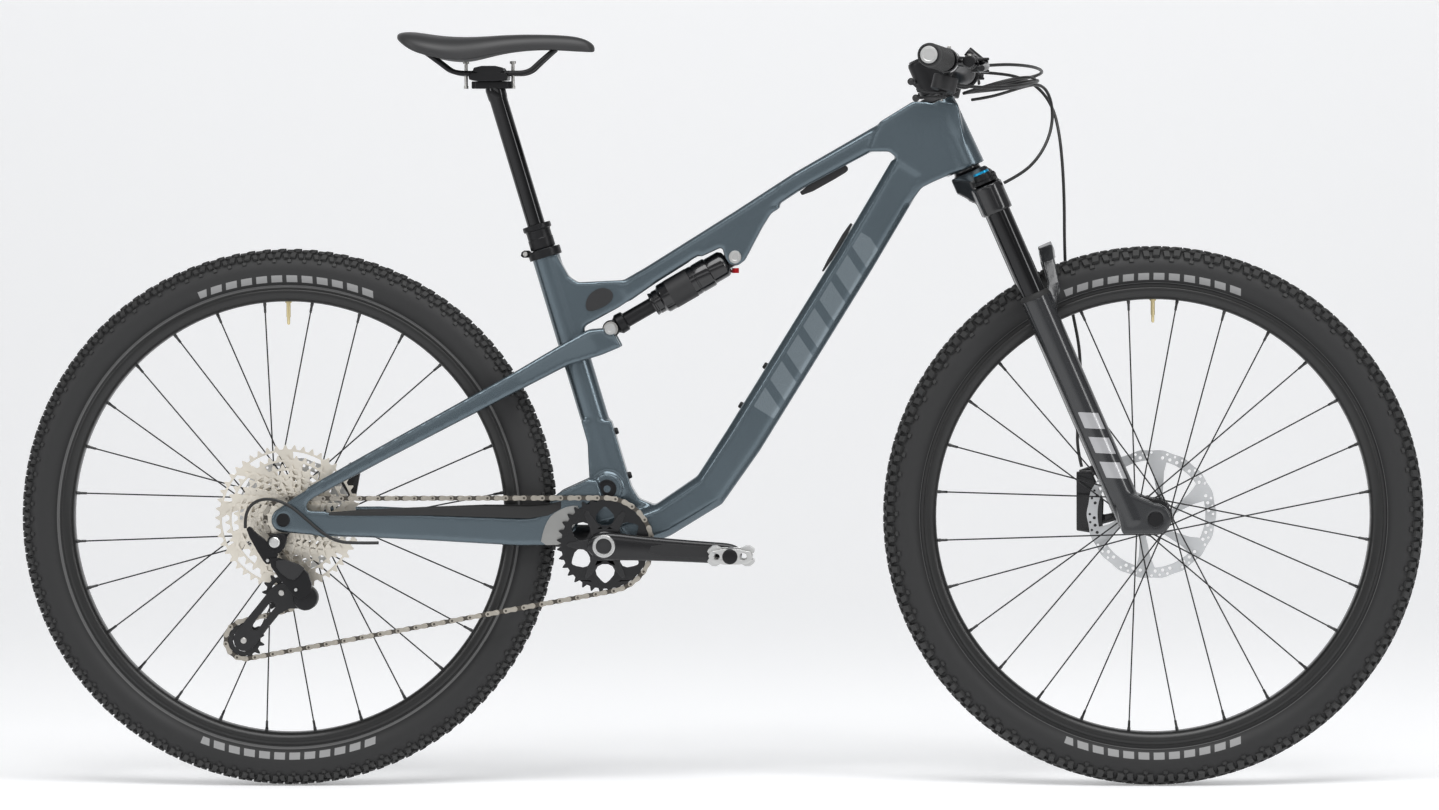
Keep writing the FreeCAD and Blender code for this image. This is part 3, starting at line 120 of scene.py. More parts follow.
FRONT_ROTOR_Y = 42
REAR_ROTOR_Y = 61
SEAT_POINT = Vector((-308, 0, 960))
COLLAR_Z = 745
BAR_MIDDLE = Vector((338, 0, 984))
BAR_BEND = Vector((332, 95, 994))
GRIP_END = Vector((288, 385, 1000))
SWEPT = (GRIP_END - BAR_BEND).normalized()
BAR_CLAMP_RADIUS = 15.9
BAR_END_RADIUS = 11.1
DOWN_TUBE_UP = Vector((0.5285, 0, 0.849))
SEAT_TUBE_UP = Vector((-0.2864, 0, 0.958))
BOTTLE_BOLTS_APART = 64


def steer_at(along, ahead=0, y=0):
    """A point by its distance up the steering axis, ahead of it and to the left."""
    return STEER_FOOT + STEER_UP * along + STEER_AHEAD * ahead + Vector((0, y, 0))


def flat(point):
    """A point's place on the bike's middle plane."""
    return Vector((point.x, 0, point.z))


def seat_at(height):
    """The point of the seat tube's axis at a height above ground."""
    return SEAT_POINT + SEAT_UP * ((height - SEAT_POINT.z) / SEAT_UP.z)


def on_bar(y, side, ahead=0, up=0):
    """A point by the handlebar's outer part: distance from the middle plane, ahead and above."""
    point = BAR_BEND + SWEPT * ((y - BAR_BEND.y) / SWEPT.y)
    return Vector((point.x + ahead, point.y * side, point.z + up))


# ---------------------------------------------------------------- outlines, as (x, z) points

def polar(centre, radius, angle):
    """An (x, z) point by its radius and angle about a centre."""
    return centre.x + radius * math.cos(angle), centre.z + radius * math.sin(angle)


def on_circle(centre, radius, angle):
    """The same as a point of the bike's middle plane."""
    x, z = polar(centre, radius, angle)
    return Vector((x, 0, z))


def circle(x, z, radius, count=24):
    """A circle's outline."""
    angles = [2 * math.pi * step / count for step in range(count)]
    return [(x + radius * math.cos(a), z + radius * math.sin(a)) for a in angles]


def soft(outline, passes=2):
    """An outline with its corners cut and cut again, until they look round."""
    for _ in range(passes):
        cut = []
        for (x, z), (next_x, next_z) in zip(outline, outline[1:] + outline[:1]):
            cut += [(0.75 * x + 0.25 * next_x, 0.75 * z + 0.25 * next_z),
                    (0.25 * x + 0.75 * next_x, 0.25 * z + 0.75 * next_z)]
        outline = cut
    return outline


def capsule(start, end, radius, count=8):
    """The outline of a slot between two (x, z) points."""
    heading = math.atan2(end[1] - start[1], end[0] - start[0])
    outline = []
    for (x, z), first in ((end, heading - math.pi / 2), (start, heading + math.pi / 2)):
        angles = [first + math.pi * step / count for step in range(count + 1)]
        outline += [(x + radius * math.cos(a), z + radius * math.sin(a)) for a in angles]
    return outline


def sprocket_radius(teeth):
    """The radius of the chain's pins on a sprocket."""
    return teeth * PITCH / (2 * math.pi)


def toothed(centre, teeth):
    """A sprocket's outline."""
    outline = []
    for number in range(teeth):
        for share, rise in ((0, -4.2), (0.2, -3.9), (0.36, 0), (0.45, 2), (0.55, 2), (0.64, 0), (0.8, -3.9)):
            angle = 2 * math.pi * (number + share) / teeth
            outline.append(polar(centre, sprocket_radius(teeth) + rise, angle))
    return outline


def windows(centre, count, inner, outer, width, slant=0.0, start=0.0):
    """Openings round a centre, between two radii, each taking the share width of its sector."""
    loops = []
    for number in range(count):
        first = 2 * math.pi * number / count + start
        span = 2 * math.pi / count * width
        steps = 5
        inside = [(inner, first + span * s / steps) for s in range(steps + 1)]
        outside = [(outer, first + slant + span * (1 - s / steps)) for s in range(steps + 1)]
        loops.append(soft([polar(centre, r, a) for r, a in inside + outside], 1))
    return loops


# ---------------------------------------------------------------- forms

class Form:
    """Vertices and faces in millimetres, gathered before they become one piece."""

    def __init__(self):
        self.verts = []
        self.faces = []

    def put(self, verts, faces):
        """Adds loose vertices and the faces on them."""
        base = len(self.verts)
        self.verts += [Vector(v) for v in verts]
        self.faces += [[base + i for i in face] for face in faces]
        return self

    def rings(self, loops, capped=True, closed=False):
        """Joins loops of equally many points, one to the next."""
        count = len(loops[0])
        verts = [point for loop in loops for point in loop]
        faces = []
        spans = len(loops) if closed else len(loops) - 1
        for a in range(spans):
            b = (a + 1) % len(loops)
            for i in range(count):
                j = (i + 1) % count
                faces.append([a * count + i, a * count + j, b * count + j, b * count + i])
        if capped and not closed:
            faces.append(list(range(count))[::-1])
            faces.append([(len(loops) - 1) * count + i for i in range(count)])
        return self.put(verts, faces)

    def turned(self, profile, start, along, segments=48, closed=False):
        """A lathe form: (distance along, radius) points turned about a line."""
        along = Vector(along).normalized()
        side = along.orthogonal().normalized()
        other = along.cross(side)
        loops = []
        for distance, radius in profile:
            centre = start + along * distance
            angles = [2 * math.pi * s / segments for s in range(segments)]
            loops.append([centre + (side * math.cos(a) + other * math.sin(a)) * radius for a in angles])
        return self.rings(loops, closed=closed)

    def tube(self, path, radius, sides=12):
        """A round tube along points; radius is one number or one for each point."""
        radii = radius if hasattr(radius, "__len__") else [radius] * len(path)
        loops, side = [], None
        for number, point in enumerate(path):
            before, after = path[max(number - 1, 0)], path[min(number + 1, len(path) - 1)]
            along = (after - before).normalized()
            side = along.orthogonal() if side is None else side - along * side.dot(along)
            side.normalize()
            other = along.cross(side)
            angles = [2 * math.pi * s / sides for s in range(sides)]
            loops.append([point + (side * math.cos(a) + other * math.sin(a)) * radii[number]
                          for a in angles])
        return self.rings(loops)

    def plate(self, outline, y_low, y_high, holes=()):
        """A flat plate with holes: closed outlines of (x, z) points between two values of y."""
        loops = [[Vector((x, z, 0)) for x, z in loop] for loop in (outline, *holes)]
        points = [point for loop in loops for point in loop]
        count = len(points)
        verts = [Vector((point.x, y, point.y)) for y in (y_low, y_high) for point in points]
        triangles = tessellate_polygon(loops)
        faces = [list(t) for t in triangles] + [[i + count for i in t[::-1]] for t in triangles]
        base = 0
        for loop in loops:
            for i in range(len(loop)):
                here, after = base + i, base + (i + 1) % len(loop)
                faces.append([here, after, after + count, here + count])
            base += len(loop)
        return self.put(verts, faces)

    def screw(self, centre, along, radius=4.5, height=3.0):
        """A domed bolt head with a hexagonal socket."""
        along = Vector(along).normalized()
        self.turned([(-1, radius), (height * 0.6, radius), (height, radius * 0.8), (height, radius * 0.5)],
                    centre, along, 24)
        socket = [(height + 0.01, radius * 0.5), (height * 0.3, radius * 0.48)]
        return self.turned(socket, centre, along, 6)

    def piece(self, name, body, look, slot=None, node=None, bevel=0.0, subdivide=0, crease=35):
        """Makes the piece, in metres, on its body, with the CAD node it stands for. The slot argument is not
        used.
        """
        mesh = bpy.data.meshes.new(name)
        mesh.from_pydata([v * MM for v in self.verts], [], self.faces)
        shape = bmesh.new()
        shape.from_mesh(mesh)
        bmesh.ops.recalc_face_normals(shape, faces=shape.faces)
        shape.to_mesh(mesh)
        shape.free()
        obj = finished(mesh, name, body, look, bevel, subdivide, crease)
        if node:
            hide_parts(node)
        return obj


def finished(mesh, name, body, look, bevel=0.0, subdivide=0, crease=35):
    """An object from a mesh, with its material, bevels and shading, riding on its body."""
    obj = bpy.data.objects.new(name, mesh)
    SCENE.collection.objects.link(obj)
    mesh.materials.append(look)
    mesh.polygons.foreach_set("use_smooth", [True] * len(mesh.polygons))
    if subdivide:
        layer = obj.modifiers.new("round", "SUBSURF")
        layer.levels = layer.render_levels = subdivide
    elif not bevel:
        mesh.set_sharp_from_angle(angle=math.radians(crease))
    if bevel:
        edge = obj.modifiers.new("edge", "BEVEL")
        edge.width = bevel * MM
        edge.segments = 3
        edge.limit_method = "ANGLE"
        edge.angle_limit = math.radians(crease)
        edge.harden_normals = True
    if body:
        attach(obj, body)
    return obj


def moulded(name, nodes, body, look, voxel, passes):
    """A cast or moulded skin: CAD nodes' solids joined into one, with its edges and joints rounded.

    voxel is the size in millimetres of the grid it is cast on, passes how often it is smoothed.
    """
    first, *others = nodes
    obj = bpy.data.objects.new(name, frame["nodes"][first].data.copy())
    SCENE.collection.objects.link(obj)
    for node in others:
        join = obj.modifiers.new(node, "BOOLEAN")
        join.operation = "UNION"
        join.solver = "EXACT"
        join.object = frame["nodes"][node]
    grid = obj.modifiers.new("grid", "REMESH")
    grid.mode = "VOXEL"
    grid.voxel_size = voxel * COARSE * MM
    relax = obj.modifiers.new("relax", "SMOOTH")
    relax.factor = 0.5
    relax.iterations = passes // COARSE
    shape = bpy.data.meshes.new_from_object(obj.evaluated_get(bpy.context.evaluated_depsgraph_get()))
    bpy.data.objects.remove(obj)
    shape.name = name
    shape.materials.clear()
    piece = finished(shape, name, body, look, crease=60)
    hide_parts(*nodes)
    return piece


def cut_below(obj, point, up):
    """Takes away what lies below a plane and closes the cut."""
    mesh = bmesh.new()
    mesh.from_mesh(obj.data)
    everything = mesh.verts[:] + mesh.edges[:] + mesh.faces[:]
    cut = bmesh.ops.bisect_plane(mesh, geom=everything, plane_co=point * MM, plane_no=up, clear_inner=True)
    rim_edges = [part for part in cut["geom_cut"] if isinstance(part, bmesh.types.BMEdge)]
    bmesh.ops.edgenet_fill(mesh, edges=rim_edges)
    mesh.to_mesh(obj.data)
    mesh.free()


def centreline(route):
    """Points along the smooth spline that has a route's points as its control points."""
    curve = bpy.data.curves.new("route", "CURVE")
    curve.dimensions = "3D"
    spline = curve.splines.new("NURBS")
    spline.points.add(len(route) - 1)
    for point, place in zip(spline.points, route):
        point.co = (*place, 1)
    spline.order_u = 3
    spline.use_endpoint_u = True
    spline.resolution_u = 8
    carrier = bpy.data.objects.new("route", curve)
    SCENE.collection.objects.link(carrier)
    line = bpy.data.meshes.new_from_object(carrier)
    points = [v.co.copy() for v in line.vertices]
    bpy.data.objects.remove(carrier)
    bpy.data.curves.remove(curve)
    bpy.data.meshes.remove(line)
    return points


# ---------------------------------------------------------------- materials

def material(name, colour, rough=0.4, metallic=0.0, coat=0.0, spread=0.15, grain=0.05, grain_size=0.8,
             mottle=0.14):
    """A Principled surface whose colour, roughness and relief vary with fine noise.

    grain_size is the size of the relief in millimetres; spread is how much roughness varies and mottle
    the share by which colour does.
    """
    look = bpy.data.materials.new(name)
    look.use_nodes = True
    nodes, links = look.node_tree.nodes, look.node_tree.links
    surface = nodes["Principled BSDF"]
    surface.inputs["Metallic"].default_value = metallic
    surface.inputs["Coat Weight"].default_value = coat
    surface.inputs["Coat Roughness"].default_value = 0.08
    place = nodes.new("ShaderNodeTexCoord")
    blotch = nodes.new("ShaderNodeTexNoise")
    blotch.inputs["Scale"].default_value = 14
    blotch.inputs["Detail"].default_value = 6
    fine = nodes.new("ShaderNodeTexNoise")
    fine.name = "fine"
    fine.inputs["Scale"].default_value = 1 / (grain_size * MM)
    fine.inputs["Detail"].default_value = 3
    tone = nodes.new("ShaderNodeMix")
    tone.data_type = "RGBA"
    tone.inputs["A"].default_value = (*[c * (1 - mottle) for c in colour], 1)
    tone.inputs["B"].default_value = (*[min(1, c * (1 + mottle)) for c in colour], 1)
    gloss = nodes.new("ShaderNodeMapRange")
    gloss.inputs["To Min"].default_value = max(0.03, rough - spread / 2)
    gloss.inputs["To Max"].default_value = min(1, rough + spread / 2)
    relief = nodes.new("ShaderNodeBump")
    relief.name = "relief"
    relief.inputs["Strength"].default_value = grain
    relief.inputs["Distance"].default_value = 0.2 * MM
    edges = nodes.new("ShaderNodeBevel")
    edges.samples = 4
    edges.inputs["Radius"].default_value = 0.4 * MM
    for start, out, end, into in (
            (place, "Object", blotch, "Vector"), (place, "Object", fine, "Vector"),
            (blotch, "Fac", tone, "Factor"), (blotch, "Fac", gloss, "Value"),
            (tone, "Result", surface, "Base Color"), (gloss, "Result", surface, "Roughness"),
            (fine, "Fac", relief, "Height"), (edges, "Normal", relief, "Normal"),
            (relief, "Normal", surface, "Normal")):
        links.new(start.outputs[out], end.inputs[into])
    return look


def arithmetic(look, operation, first, second=None):
    """A Math node's output; first and second are sockets or numbers."""
    node = look.node_tree.nodes.new("ShaderNodeMath")
    node.operation = operation
    for number, value in enumerate((first, second)):
        if isinstance(value, (int, float)):
            node.inputs[number].default_value = value
        elif value is not None:
            look.node_tree.links.new(value, node.inputs[number])
    return node.outputs[0]


def tint_where(look, mask, colour):
    """Paints a colour over a material where the mask is 1."""
    nodes, links = look.node_tree.nodes, look.node_tree.links
    surface = nodes["Principled BSDF"]
    under = surface.inputs["Base Color"].links[0].from_socket
    mix = nodes.new("ShaderNodeMix")
    mix.data_type = "RGBA"
    mix.inputs["B"].default_value = (*colour, 1)
    links.new(under, mix.inputs["A"])
    links.new(mask, mix.inputs["Factor"])
    links.new(mix.outputs["Result"], surface.inputs["Base Color"])


def along_line(look, start, along):
    """How far a surface point lies along a line, in millimetres."""
    nodes, links = look.node_tree.nodes, look.node_tree.links
    place = nodes.new("ShaderNodeTexCoord")
    dot = nodes.new("ShaderNodeVectorMath")
    dot.operation = "DOT_PRODUCT"
    dot.inputs[1].default_value = Vector(along).normalized()
    links.new(place.outputs["Object"], dot.inputs[0])
    metres = arithmetic(look, "SUBTRACT", dot.outputs["Value"], Vector(along).normalized().dot(start) * MM)
    return arithmetic(look, "DIVIDE", metres, MM)


def between(look, value, low, high):
    """1 where a value lies between two numbers."""
    above = arithmetic(look, "GREATER_THAN", value, low)
    below = arithmetic(look, "LESS_THAN", value, high)
    return arithmetic(look, "MULTIPLY", above, below)


def product(look, first, *others):
    """The product of several values."""
    for other in others:
        first = arithmetic(look, "MULTIPLY", first, other)
    return first


def bars(look, value, bar, gap, periods=1000):
    """1 on bars that repeat along a value, 0 in the gaps; periods keeps the remainder positive."""
    moved = arithmetic(look, "ADD", value, periods * (bar + gap))
    return between(look, arithmetic(look, "MODULO", moved, bar + gap), 0, bar)


def frame_paint(name, colour):
    """Metallic paint with fine flakes under a satin clear coat."""
    look = material(name, colour, rough=0.26, metallic=0.7, coat=0.4, spread=0.06, grain=0.03,
                    grain_size=0.25, mottle=0.04)
    nodes, links = look.node_tree.nodes, look.node_tree.links
    nodes["Principled BSDF"].inputs["Coat Roughness"].default_value = 0.22
    place = nodes.new("ShaderNodeTexCoord")
    flakes = nodes.new("ShaderNodeTexVoronoi")
    flakes.inputs["Scale"].default_value = 3500
    links.new(place.outputs["Object"], flakes.inputs["Vector"])
    shine = arithmetic(look, "MULTIPLY_ADD", flakes.outputs["Color"], 0.25)
    shine.node.inputs[2].default_value = 0.62
    links.new(shine, nodes["Principled BSDF"].inputs["Metallic"])
    return look


def striped_paint():
    """The frame's paint with a pale pattern of slanted bars along the down tube."""
    look = frame_paint("frame_paint_striped", PAINT)
    foot, across = Vector((33, 0, 479)), Vector((DOWN_TUBE_UP.z, 0, -DOWN_TUBE_UP.x))
    up = along_line(look, foot, DOWN_TUBE_UP)
    over = along_line(look, foot, across)
    slanted = arithmetic(look, "ADD", up, arithmetic(look, "MULTIPLY", over, 0.45))
    mask = product(look, bars(look, slanted, 30, 13), between(look, up, 48, 330),
                   between(look, over, -13, 20))
    tint_where(look, mask, (0.185, 0.225, 0.25))
    return look


def tyre_look(name, axle, ring):
    """Black rubber with dashes on its wall and a painted reflection: a grey line by the rim, broad if a ring
    is asked for.
    """
    look = material(name, (0.0115, 0.0115, 0.012), rough=0.60, spread=0.2, grain=0.35, grain_size=1.6)
    nodes, links = look.node_tree.nodes, look.node_tree.links
    place = nodes.new("ShaderNodeTexCoord")
    offset = nodes.new("ShaderNodeVectorMath")
    offset.operation = "MULTIPLY_ADD"
    offset.inputs[1].default_value = (1 / MM, 0, 1 / MM)
    offset.inputs[2].default_value = (-axle.x, 0, -axle.z)
    length = nodes.new("ShaderNodeVectorMath")
    length.operation = "LENGTH"
    links.new(place.outputs["Object"], offset.inputs[0])
    links.new(offset.outputs[0], length.inputs[0])
    radius = length.outputs["Value"]
    parts = nodes.new("ShaderNodeSeparateXYZ")
    links.new(offset.outputs[0], parts.inputs[0])
    # Painted reflection: a grey band by the rim stands in for light caught at the rim's edge; ring gives the
    # broad band, otherwise a thin line.
    low, high, grey = (318.6, 322.4, 0.12) if ring else (322, 322.7, 0.10)
    tint_where(look, between(look, radius, low, high), (grey, grey, grey))
    steep = arithmetic(look, "DIVIDE", arithmetic(look, "ABSOLUTE", parts.outputs["Z"]), radius)
    marks = product(look, bars(look, parts.outputs["X"], 15, 6), between(look, steep, 0.93, 2),
                    between(look, radius, 326.5, 336))
    tint_where(look, marks, (0.26, 0.26, 0.26))
    place_apart = nodes.new("ShaderNodeSeparateXYZ")
    links.new(place.outputs["Object"], place_apart.inputs[0])
    sideways = arithmetic(look, "DIVIDE", place_apart.outputs["Y"], MM)
    outwards = arithmetic(look, "SUBTRACT", radius, TYRE_MIDDLE)
    squares = arithmetic(look, "ADD", product(look, sideways, sideways), product(look, outwards, outwards))
    above_carcass = arithmetic(look, "GREATER_THAN", squares, (CARCASS + 1.2) ** 2)
    tint_where(look, above_carcass, (0.020, 0.020, 0.020))
    return look


def brushed(name, colour, rough):
    """Turned or brushed bare metal."""
    look = material(name, colour, rough=rough, metallic=1.0, spread=0.22, grain=0.12, grain_size=0.3)
    look.node_tree.nodes["fine"].inputs["Detail"].default_value = 8
    return look


def cellular(look, scale, feature="F1"):
    """Gives a surface's relief fine cells in place of noise."""
    nodes, links = look.node_tree.nodes, look.node_tree.links
    cells, place = nodes.new("ShaderNodeTexVoronoi"), nodes.new("ShaderNodeTexCoord")
    cells.feature = feature
    cells.inputs["Scale"].default_value = scale
    links.new(place.outputs["Object"], cells.inputs["Vector"])
    links.new(cells.outputs["Distance"], nodes["relief"].inputs["Height"])
    return look


def grip_look():
    """Soft black rubber with a fine diamond knurl."""
    look = material("grip_rubber_look", (0.022, 0.022, 0.022), rough=0.72, grain=0.5, grain_size=2.2)
    return cellular(look, 420)


def saddle_look():
    """Black synthetic leather with a fine pebble grain."""
    look = material("saddle_cover_look", (0.02, 0.02, 0.021), rough=0.46, spread=0.12, grain=0.35,
                    grain_size=1.0)
    return cellular(look, 900, "SMOOTH_F1")


def fork_look():
    """Gloss black paint with a row of slanted pale bars along each lower leg."""
    look = material("fork_paint", (0.018, 0.019, 0.021), rough=0.24, metallic=0.2, coat=0.5, spread=0.06,
                    grain=0.03)
    up = along_line(look, steer_at(0, LEG_AHEAD), STEER_UP)
    over = along_line(look, steer_at(0, LEG_AHEAD), STEER_AHEAD)
    slanted = arithmetic(look, "ADD", up, arithmetic(look, "MULTIPLY", over, 0.5))
    mask = product(look, bars(look, slanted, 24, 13, 10), between(look, up, 66, 176),
                   between(look, over, -10, 15))
    tint_where(look, mask, (0.36, 0.36, 0.37))
    return look


PAINT = (0.092, 0.122, 0.142)
paint = frame_paint("frame_paint", PAINT)
paint_striped = striped_paint()
anodised = material("black_anodised", (0.010, 0.010, 0.011), rough=0.36, metallic=0.55, spread=0.12,
                    grain=0.04)
gloss_black = material("gloss_black", (0.006, 0.006, 0.007), rough=0.18, metallic=0.3, coat=0.6, spread=0.05,
                       grain=0.02)
stanchion_black = material("stanchion_black", (0.010, 0.010, 0.011), rough=0.10, metallic=0.8, coat=0.4,
                           spread=0.03, grain=0.01)
forged_black = material("forged_black", (0.008, 0.008, 0.009), rough=0.28, metallic=0.4, coat=0.3,
                        spread=0.1, grain=0.04)
plastic_black = material("plastic_black", (0.011, 0.011, 0.012), rough=0.52, spread=0.15, grain=0.15)
casing_black = material("casing_black", (0.008, 0.008, 0.008), rough=0.38, spread=0.1, grain=0.08)
rubber_black = material("rubber_black", (0.012, 0.012, 0.012), rough=0.70, spread=0.15, grain=0.25,
                        grain_size=1.2)
rim_black = material("rim_black", (0.003, 0.003, 0.003), rough=0.36, spread=0.1, coat=0.1, grain=0.03)
spoke_black = material("spoke_black", (0.006, 0.006, 0.007), rough=0.42, metallic=0.2, grain=0.02)
silver = brushed("silver_aluminium", (0.62, 0.62, 0.61), 0.30)
steel = brushed("bare_steel", (0.52, 0.51, 0.49), 0.33)
nickel = brushed("nickel_sprocket", (0.80, 0.75, 0.66), 0.34)
chain_steel = brushed("chain_steel", (0.42, 0.39, 0.34), 0.34)
chain_dark = brushed("chain_dark", (0.10, 0.09, 0.078), 0.42)
guard_steel = brushed("guard_steel", (0.36, 0.36, 0.35), 0.38)
arm_grey = material("arm_grey", (0.035, 0.035, 0.036), rough=0.32, metallic=0.6, spread=0.1, grain=0.04)
rotor_steel = brushed("rotor_steel", (0.64, 0.65, 0.66), 0.32)
brass = brushed("valve_brass", (0.66, 0.56, 0.32), 0.30)
knob_red = material("knob_red", (0.52, 0.012, 0.018), rough=0.28, metallic=0.7, grain=0.03)
knob_blue = material("knob_blue", (0.01, 0.30, 0.55), rough=0.26, metallic=0.7, grain=0.03)
# ring=True paints the broad grey reflection band by the rear rim; the front tyre gets the thin painted
# reflection line.
rear_tyre_look = tyre_look("rear_tyre_rubber", REAR_AXLE, ring=True)
front_tyre_look = tyre_look("front_tyre_rubber", FRONT_AXLE, ring=False)
grip_rubber = grip_look()
saddle_cover = saddle_look()
fork_paint = fork_look()


# ---------------------------------------------------------------- view, floor and light

def make_camera():
    """The camera: far off to the bike's right and a little above its middle, with a long lens."""
    data = bpy.data.cameras.new("camera")
    data.lens = 138.57
    data.sensor_width = 36
    camera = bpy.data.objects.new("camera", data)
    SCENE.collection.objects.link(camera)
    camera.location = (0.2476, -7.664, 0.7976)
    target, roll = Vector((-0.0005, 0, 0.5273)), math.radians(-0.18)
    turn = (target - camera.location).to_track_quat("-Z", "Y").to_matrix().to_4x4()
    camera.matrix_world = Matrix.Translation(camera.location) @ turn @ Matrix.Rotation(roll, 4, "Z")
    SCENE.camera = camera


def seen_through_from_behind(look):
    """Makes the back faces of a material clear."""
    nodes, links = look.node_tree.nodes, look.node_tree.links
    clear, facing, mix = (nodes.new("ShaderNode" + kind)
                          for kind in ("BsdfTransparent", "NewGeometry", "MixShader"))
    links.new(facing.outputs["Backfacing"], mix.inputs["Fac"])
    links.new(nodes["Principled BSDF"].outputs["BSDF"], mix.inputs[1])
    links.new(clear.outputs["BSDF"], mix.inputs[2])
    links.new(mix.outputs["Shader"], nodes["Material Output"].inputs["Surface"])


def make_floor():
    """A pale floor that curves up into a backdrop behind the bike."""
    depth, height, curve, half_width = 5.0, 5.0, 1.6, 12.0
    profile = [(-20.0, 0.0), (depth - curve, 0.0)]
    profile += [(depth - curve + curve * math.sin(a), curve - curve * math.cos(a))
                for a in [math.pi / 2 * step / 12 for step in range(1, 13)]]
    profile.append((depth, height))
    mesh = bpy.data.meshes.new("floor")
    verts = [(x, y, z) for y, z in profile for x in (-half_width, half_width)]
    mesh.from_pydata(verts, [], [(2 * i, 2 * i + 1, 2 * i + 3, 2 * i + 2) for i in range(len(profile) - 1)])
    look = material("floor_paper", (0.86, 0.865, 0.875), rough=0.9, spread=0.02, grain=0.01, grain_size=4,
                    mottle=0.0)
    glow = look.node_tree.nodes["Principled BSDF"]
    glow.inputs["Emission Color"].default_value = (1, 1, 1, 1)
    glow.inputs["Emission Strength"].default_value = 0.24
    seen_through_from_behind(look)
    floor = finished(mesh, "floor", None, look)


def area_light(name, place, target, size, watts):
    """A soft rectangular light aimed at a point."""
    data = bpy.data.lights.new(name, "AREA")
    data.shape = "RECTANGLE"
    data.size, data.size_y = size
    data.energy = watts
    light = bpy.data.objects.new(name, data)
    SCENE.collection.objects.link(light)
    light.location = place
    light.rotation_euler = (Vector(target) - Vector(place)).to_track_quat("-Z", "Y").to_euler()


def make_lights():
    """A dim surround, a large key from above, softer lights at both ends and a wide low one far in front."""
    SCENE.view_settings.view_transform = "Standard"
    world = bpy.data.worlds.new("studio")
    world.use_nodes = True
    sky = world.node_tree.nodes["Background"]
    sky.inputs["Color"].default_value = (0.97, 0.98, 1.0, 1)
    sky.inputs["Strength"].default_value = 0.34
    SCENE.world = world
    area_light("key", (0.3, -1.9, 3.6), (0, 0, 0.5), (4.0, 2.0), 120)
    area_light("front_left", (3.8, -2.6, 1.9), (0.3, 0, 0.6), (0.8, 2.4), 34)
    area_light("rear_right", (-3.8, -2.4, 1.8), (-0.3, 0, 0.6), (0.8, 2.4), 34)
    area_light("front_band", (0, -6.5, 2.2), (0, 0, 0.6), (6.0, 1.2), 26)


# ---------------------------------------------------------------- cables and hoses

def cable(name, route, node=None, body=None, between_bodies=None):
    """A cable of true length, held along its route: a mesh tube along the route's spline.

    It rides on one body or, given between_bodies (body, body, start point, end point), has its transform
    baked into the mesh; the bodies and points in that tuple are not used.
    """
    path = centreline([Vector(point) * MM for point in route])
    tube = Form().tube([point / MM for point in path], CASING / 2)
    obj = tube.piece(name, body, casing_black, "casing", node)
    if between_bodies:
        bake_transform(obj)


def control_cables():
    """The rear shift casing, rear brake hose and seatpost casing, from the bar into the headset cover."""
    shift = [(322, -182, 965), (350, -160, 962), (384, -132, 962), (416, -96, 966), (438, -52, 971),
             (441, -6, 975), (426, 34, 974), (396, 50, 969), (362, 38, 962), (339, 14, 957.5)]
    brake = [(366, -166, 991), (388, -146, 993), (412, -118, 993), (434, -82, 991), (446, -38, 987),
             (444, 8, 983), (428, 46, 979), (400, 62, 974), (366, 46, 966), (338, 22, 957.5)]
    seatpost = [(346, 184, 962), (370, 164, 964), (396, 138, 966), (420, 104, 969), (436, 62, 973),
                (438, 18, 978), (424, -24, 979), (396, -44, 974), (364, -32, 965), (339, -8, 957.5)]
    for name, route, node in (("shift_casing", shift, "control_cables"), ("rear_brake_hose", brake, None),
                              ("seatpost_casing", seatpost, None)):
        cable(name, route, node, between_bodies=("steering", "frame", route[2], route[-1]))


def fork_cable():
    """The lockout casing, from the left remote to the knob on the right leg."""
    route = [(352, 196, 952), (376, 174, 955), (402, 142, 962), (426, 104, 969), (443, 62, 971),
             (453, 22, 962), (459, -10, 944), (460, -34, 920), (454, -52, 894), (440, -63, 868),
             (418, -68, 846), (392, -69, 833)]
    cable("lockout_casing", route, "fork_cable", "steering")


def front_brake_hose():
    """The front hose, from the left lever to the caliper."""
    route = [(366, 172, 990), (392, 156, 988), (420, 134, 982), (446, 106, 966), (464, 78, 938),
             (472, 56, 900), (476, 46, 855), (478, 43, 805), (478, 43, 755), (480, 43.5, 700),
             (490, 43.5, 650), (500, 43.5, 600), (500, 43.5, 545), (496, 46, 495), (496, 50, 463),
             (502, 51, 438.5)]
    cable("front_hose", route, "front_brake_hose",
          between_bodies=("steering", "fork_slider", route[5], route[12]))


def rear_shift_cable():
    """The casing that loops over the right dropout to the derailleur."""
    route = [(-650, -88, 362.4), (-651, -88, 380), (-640, -88, 398), (-618, -89, 404), (-592, -89, 396),
             (-570, -88, 378), (-548, -87.5, 358), (-524, -84, 343), (-496, -78.5, 341), (-468, -73, 341)]
    cable("derailleur_casing", route, "rear_shift_cable", "swingarm")


# ---------------------------------------------------------------- wheels

def on_tyre(axle, around, over, height):
    """A point on a tyre: the turn around the wheel, the angle over its section and the height above it."""
    radius = TYRE_MIDDLE + (CARCASS + height) * math.cos(over)
    return Vector((axle.x + radius * math.cos(around), (CARCASS + height) * math.sin(over),
                   axle.z + radius * math.sin(around)))


def knob(form, axle, around, over, length, width, height, skew=0.0):
    """One tread block: a frustum on the carcass."""
    loops = []
    for rise, grow in ((-1.0, 1.25), (height, 1.0)):
        loop = []
        for u, v in ((-1, -1), (1, -1), (1, 1), (-1, 1)):
            turn = around + (u * length / 2 * grow + v * skew) / TYRE_RADIUS
            loop.append(on_tyre(axle, turn, over + v * width / 2 * grow / CARCASS, rise))
        loops.append(loop)
    form.rings(loops)


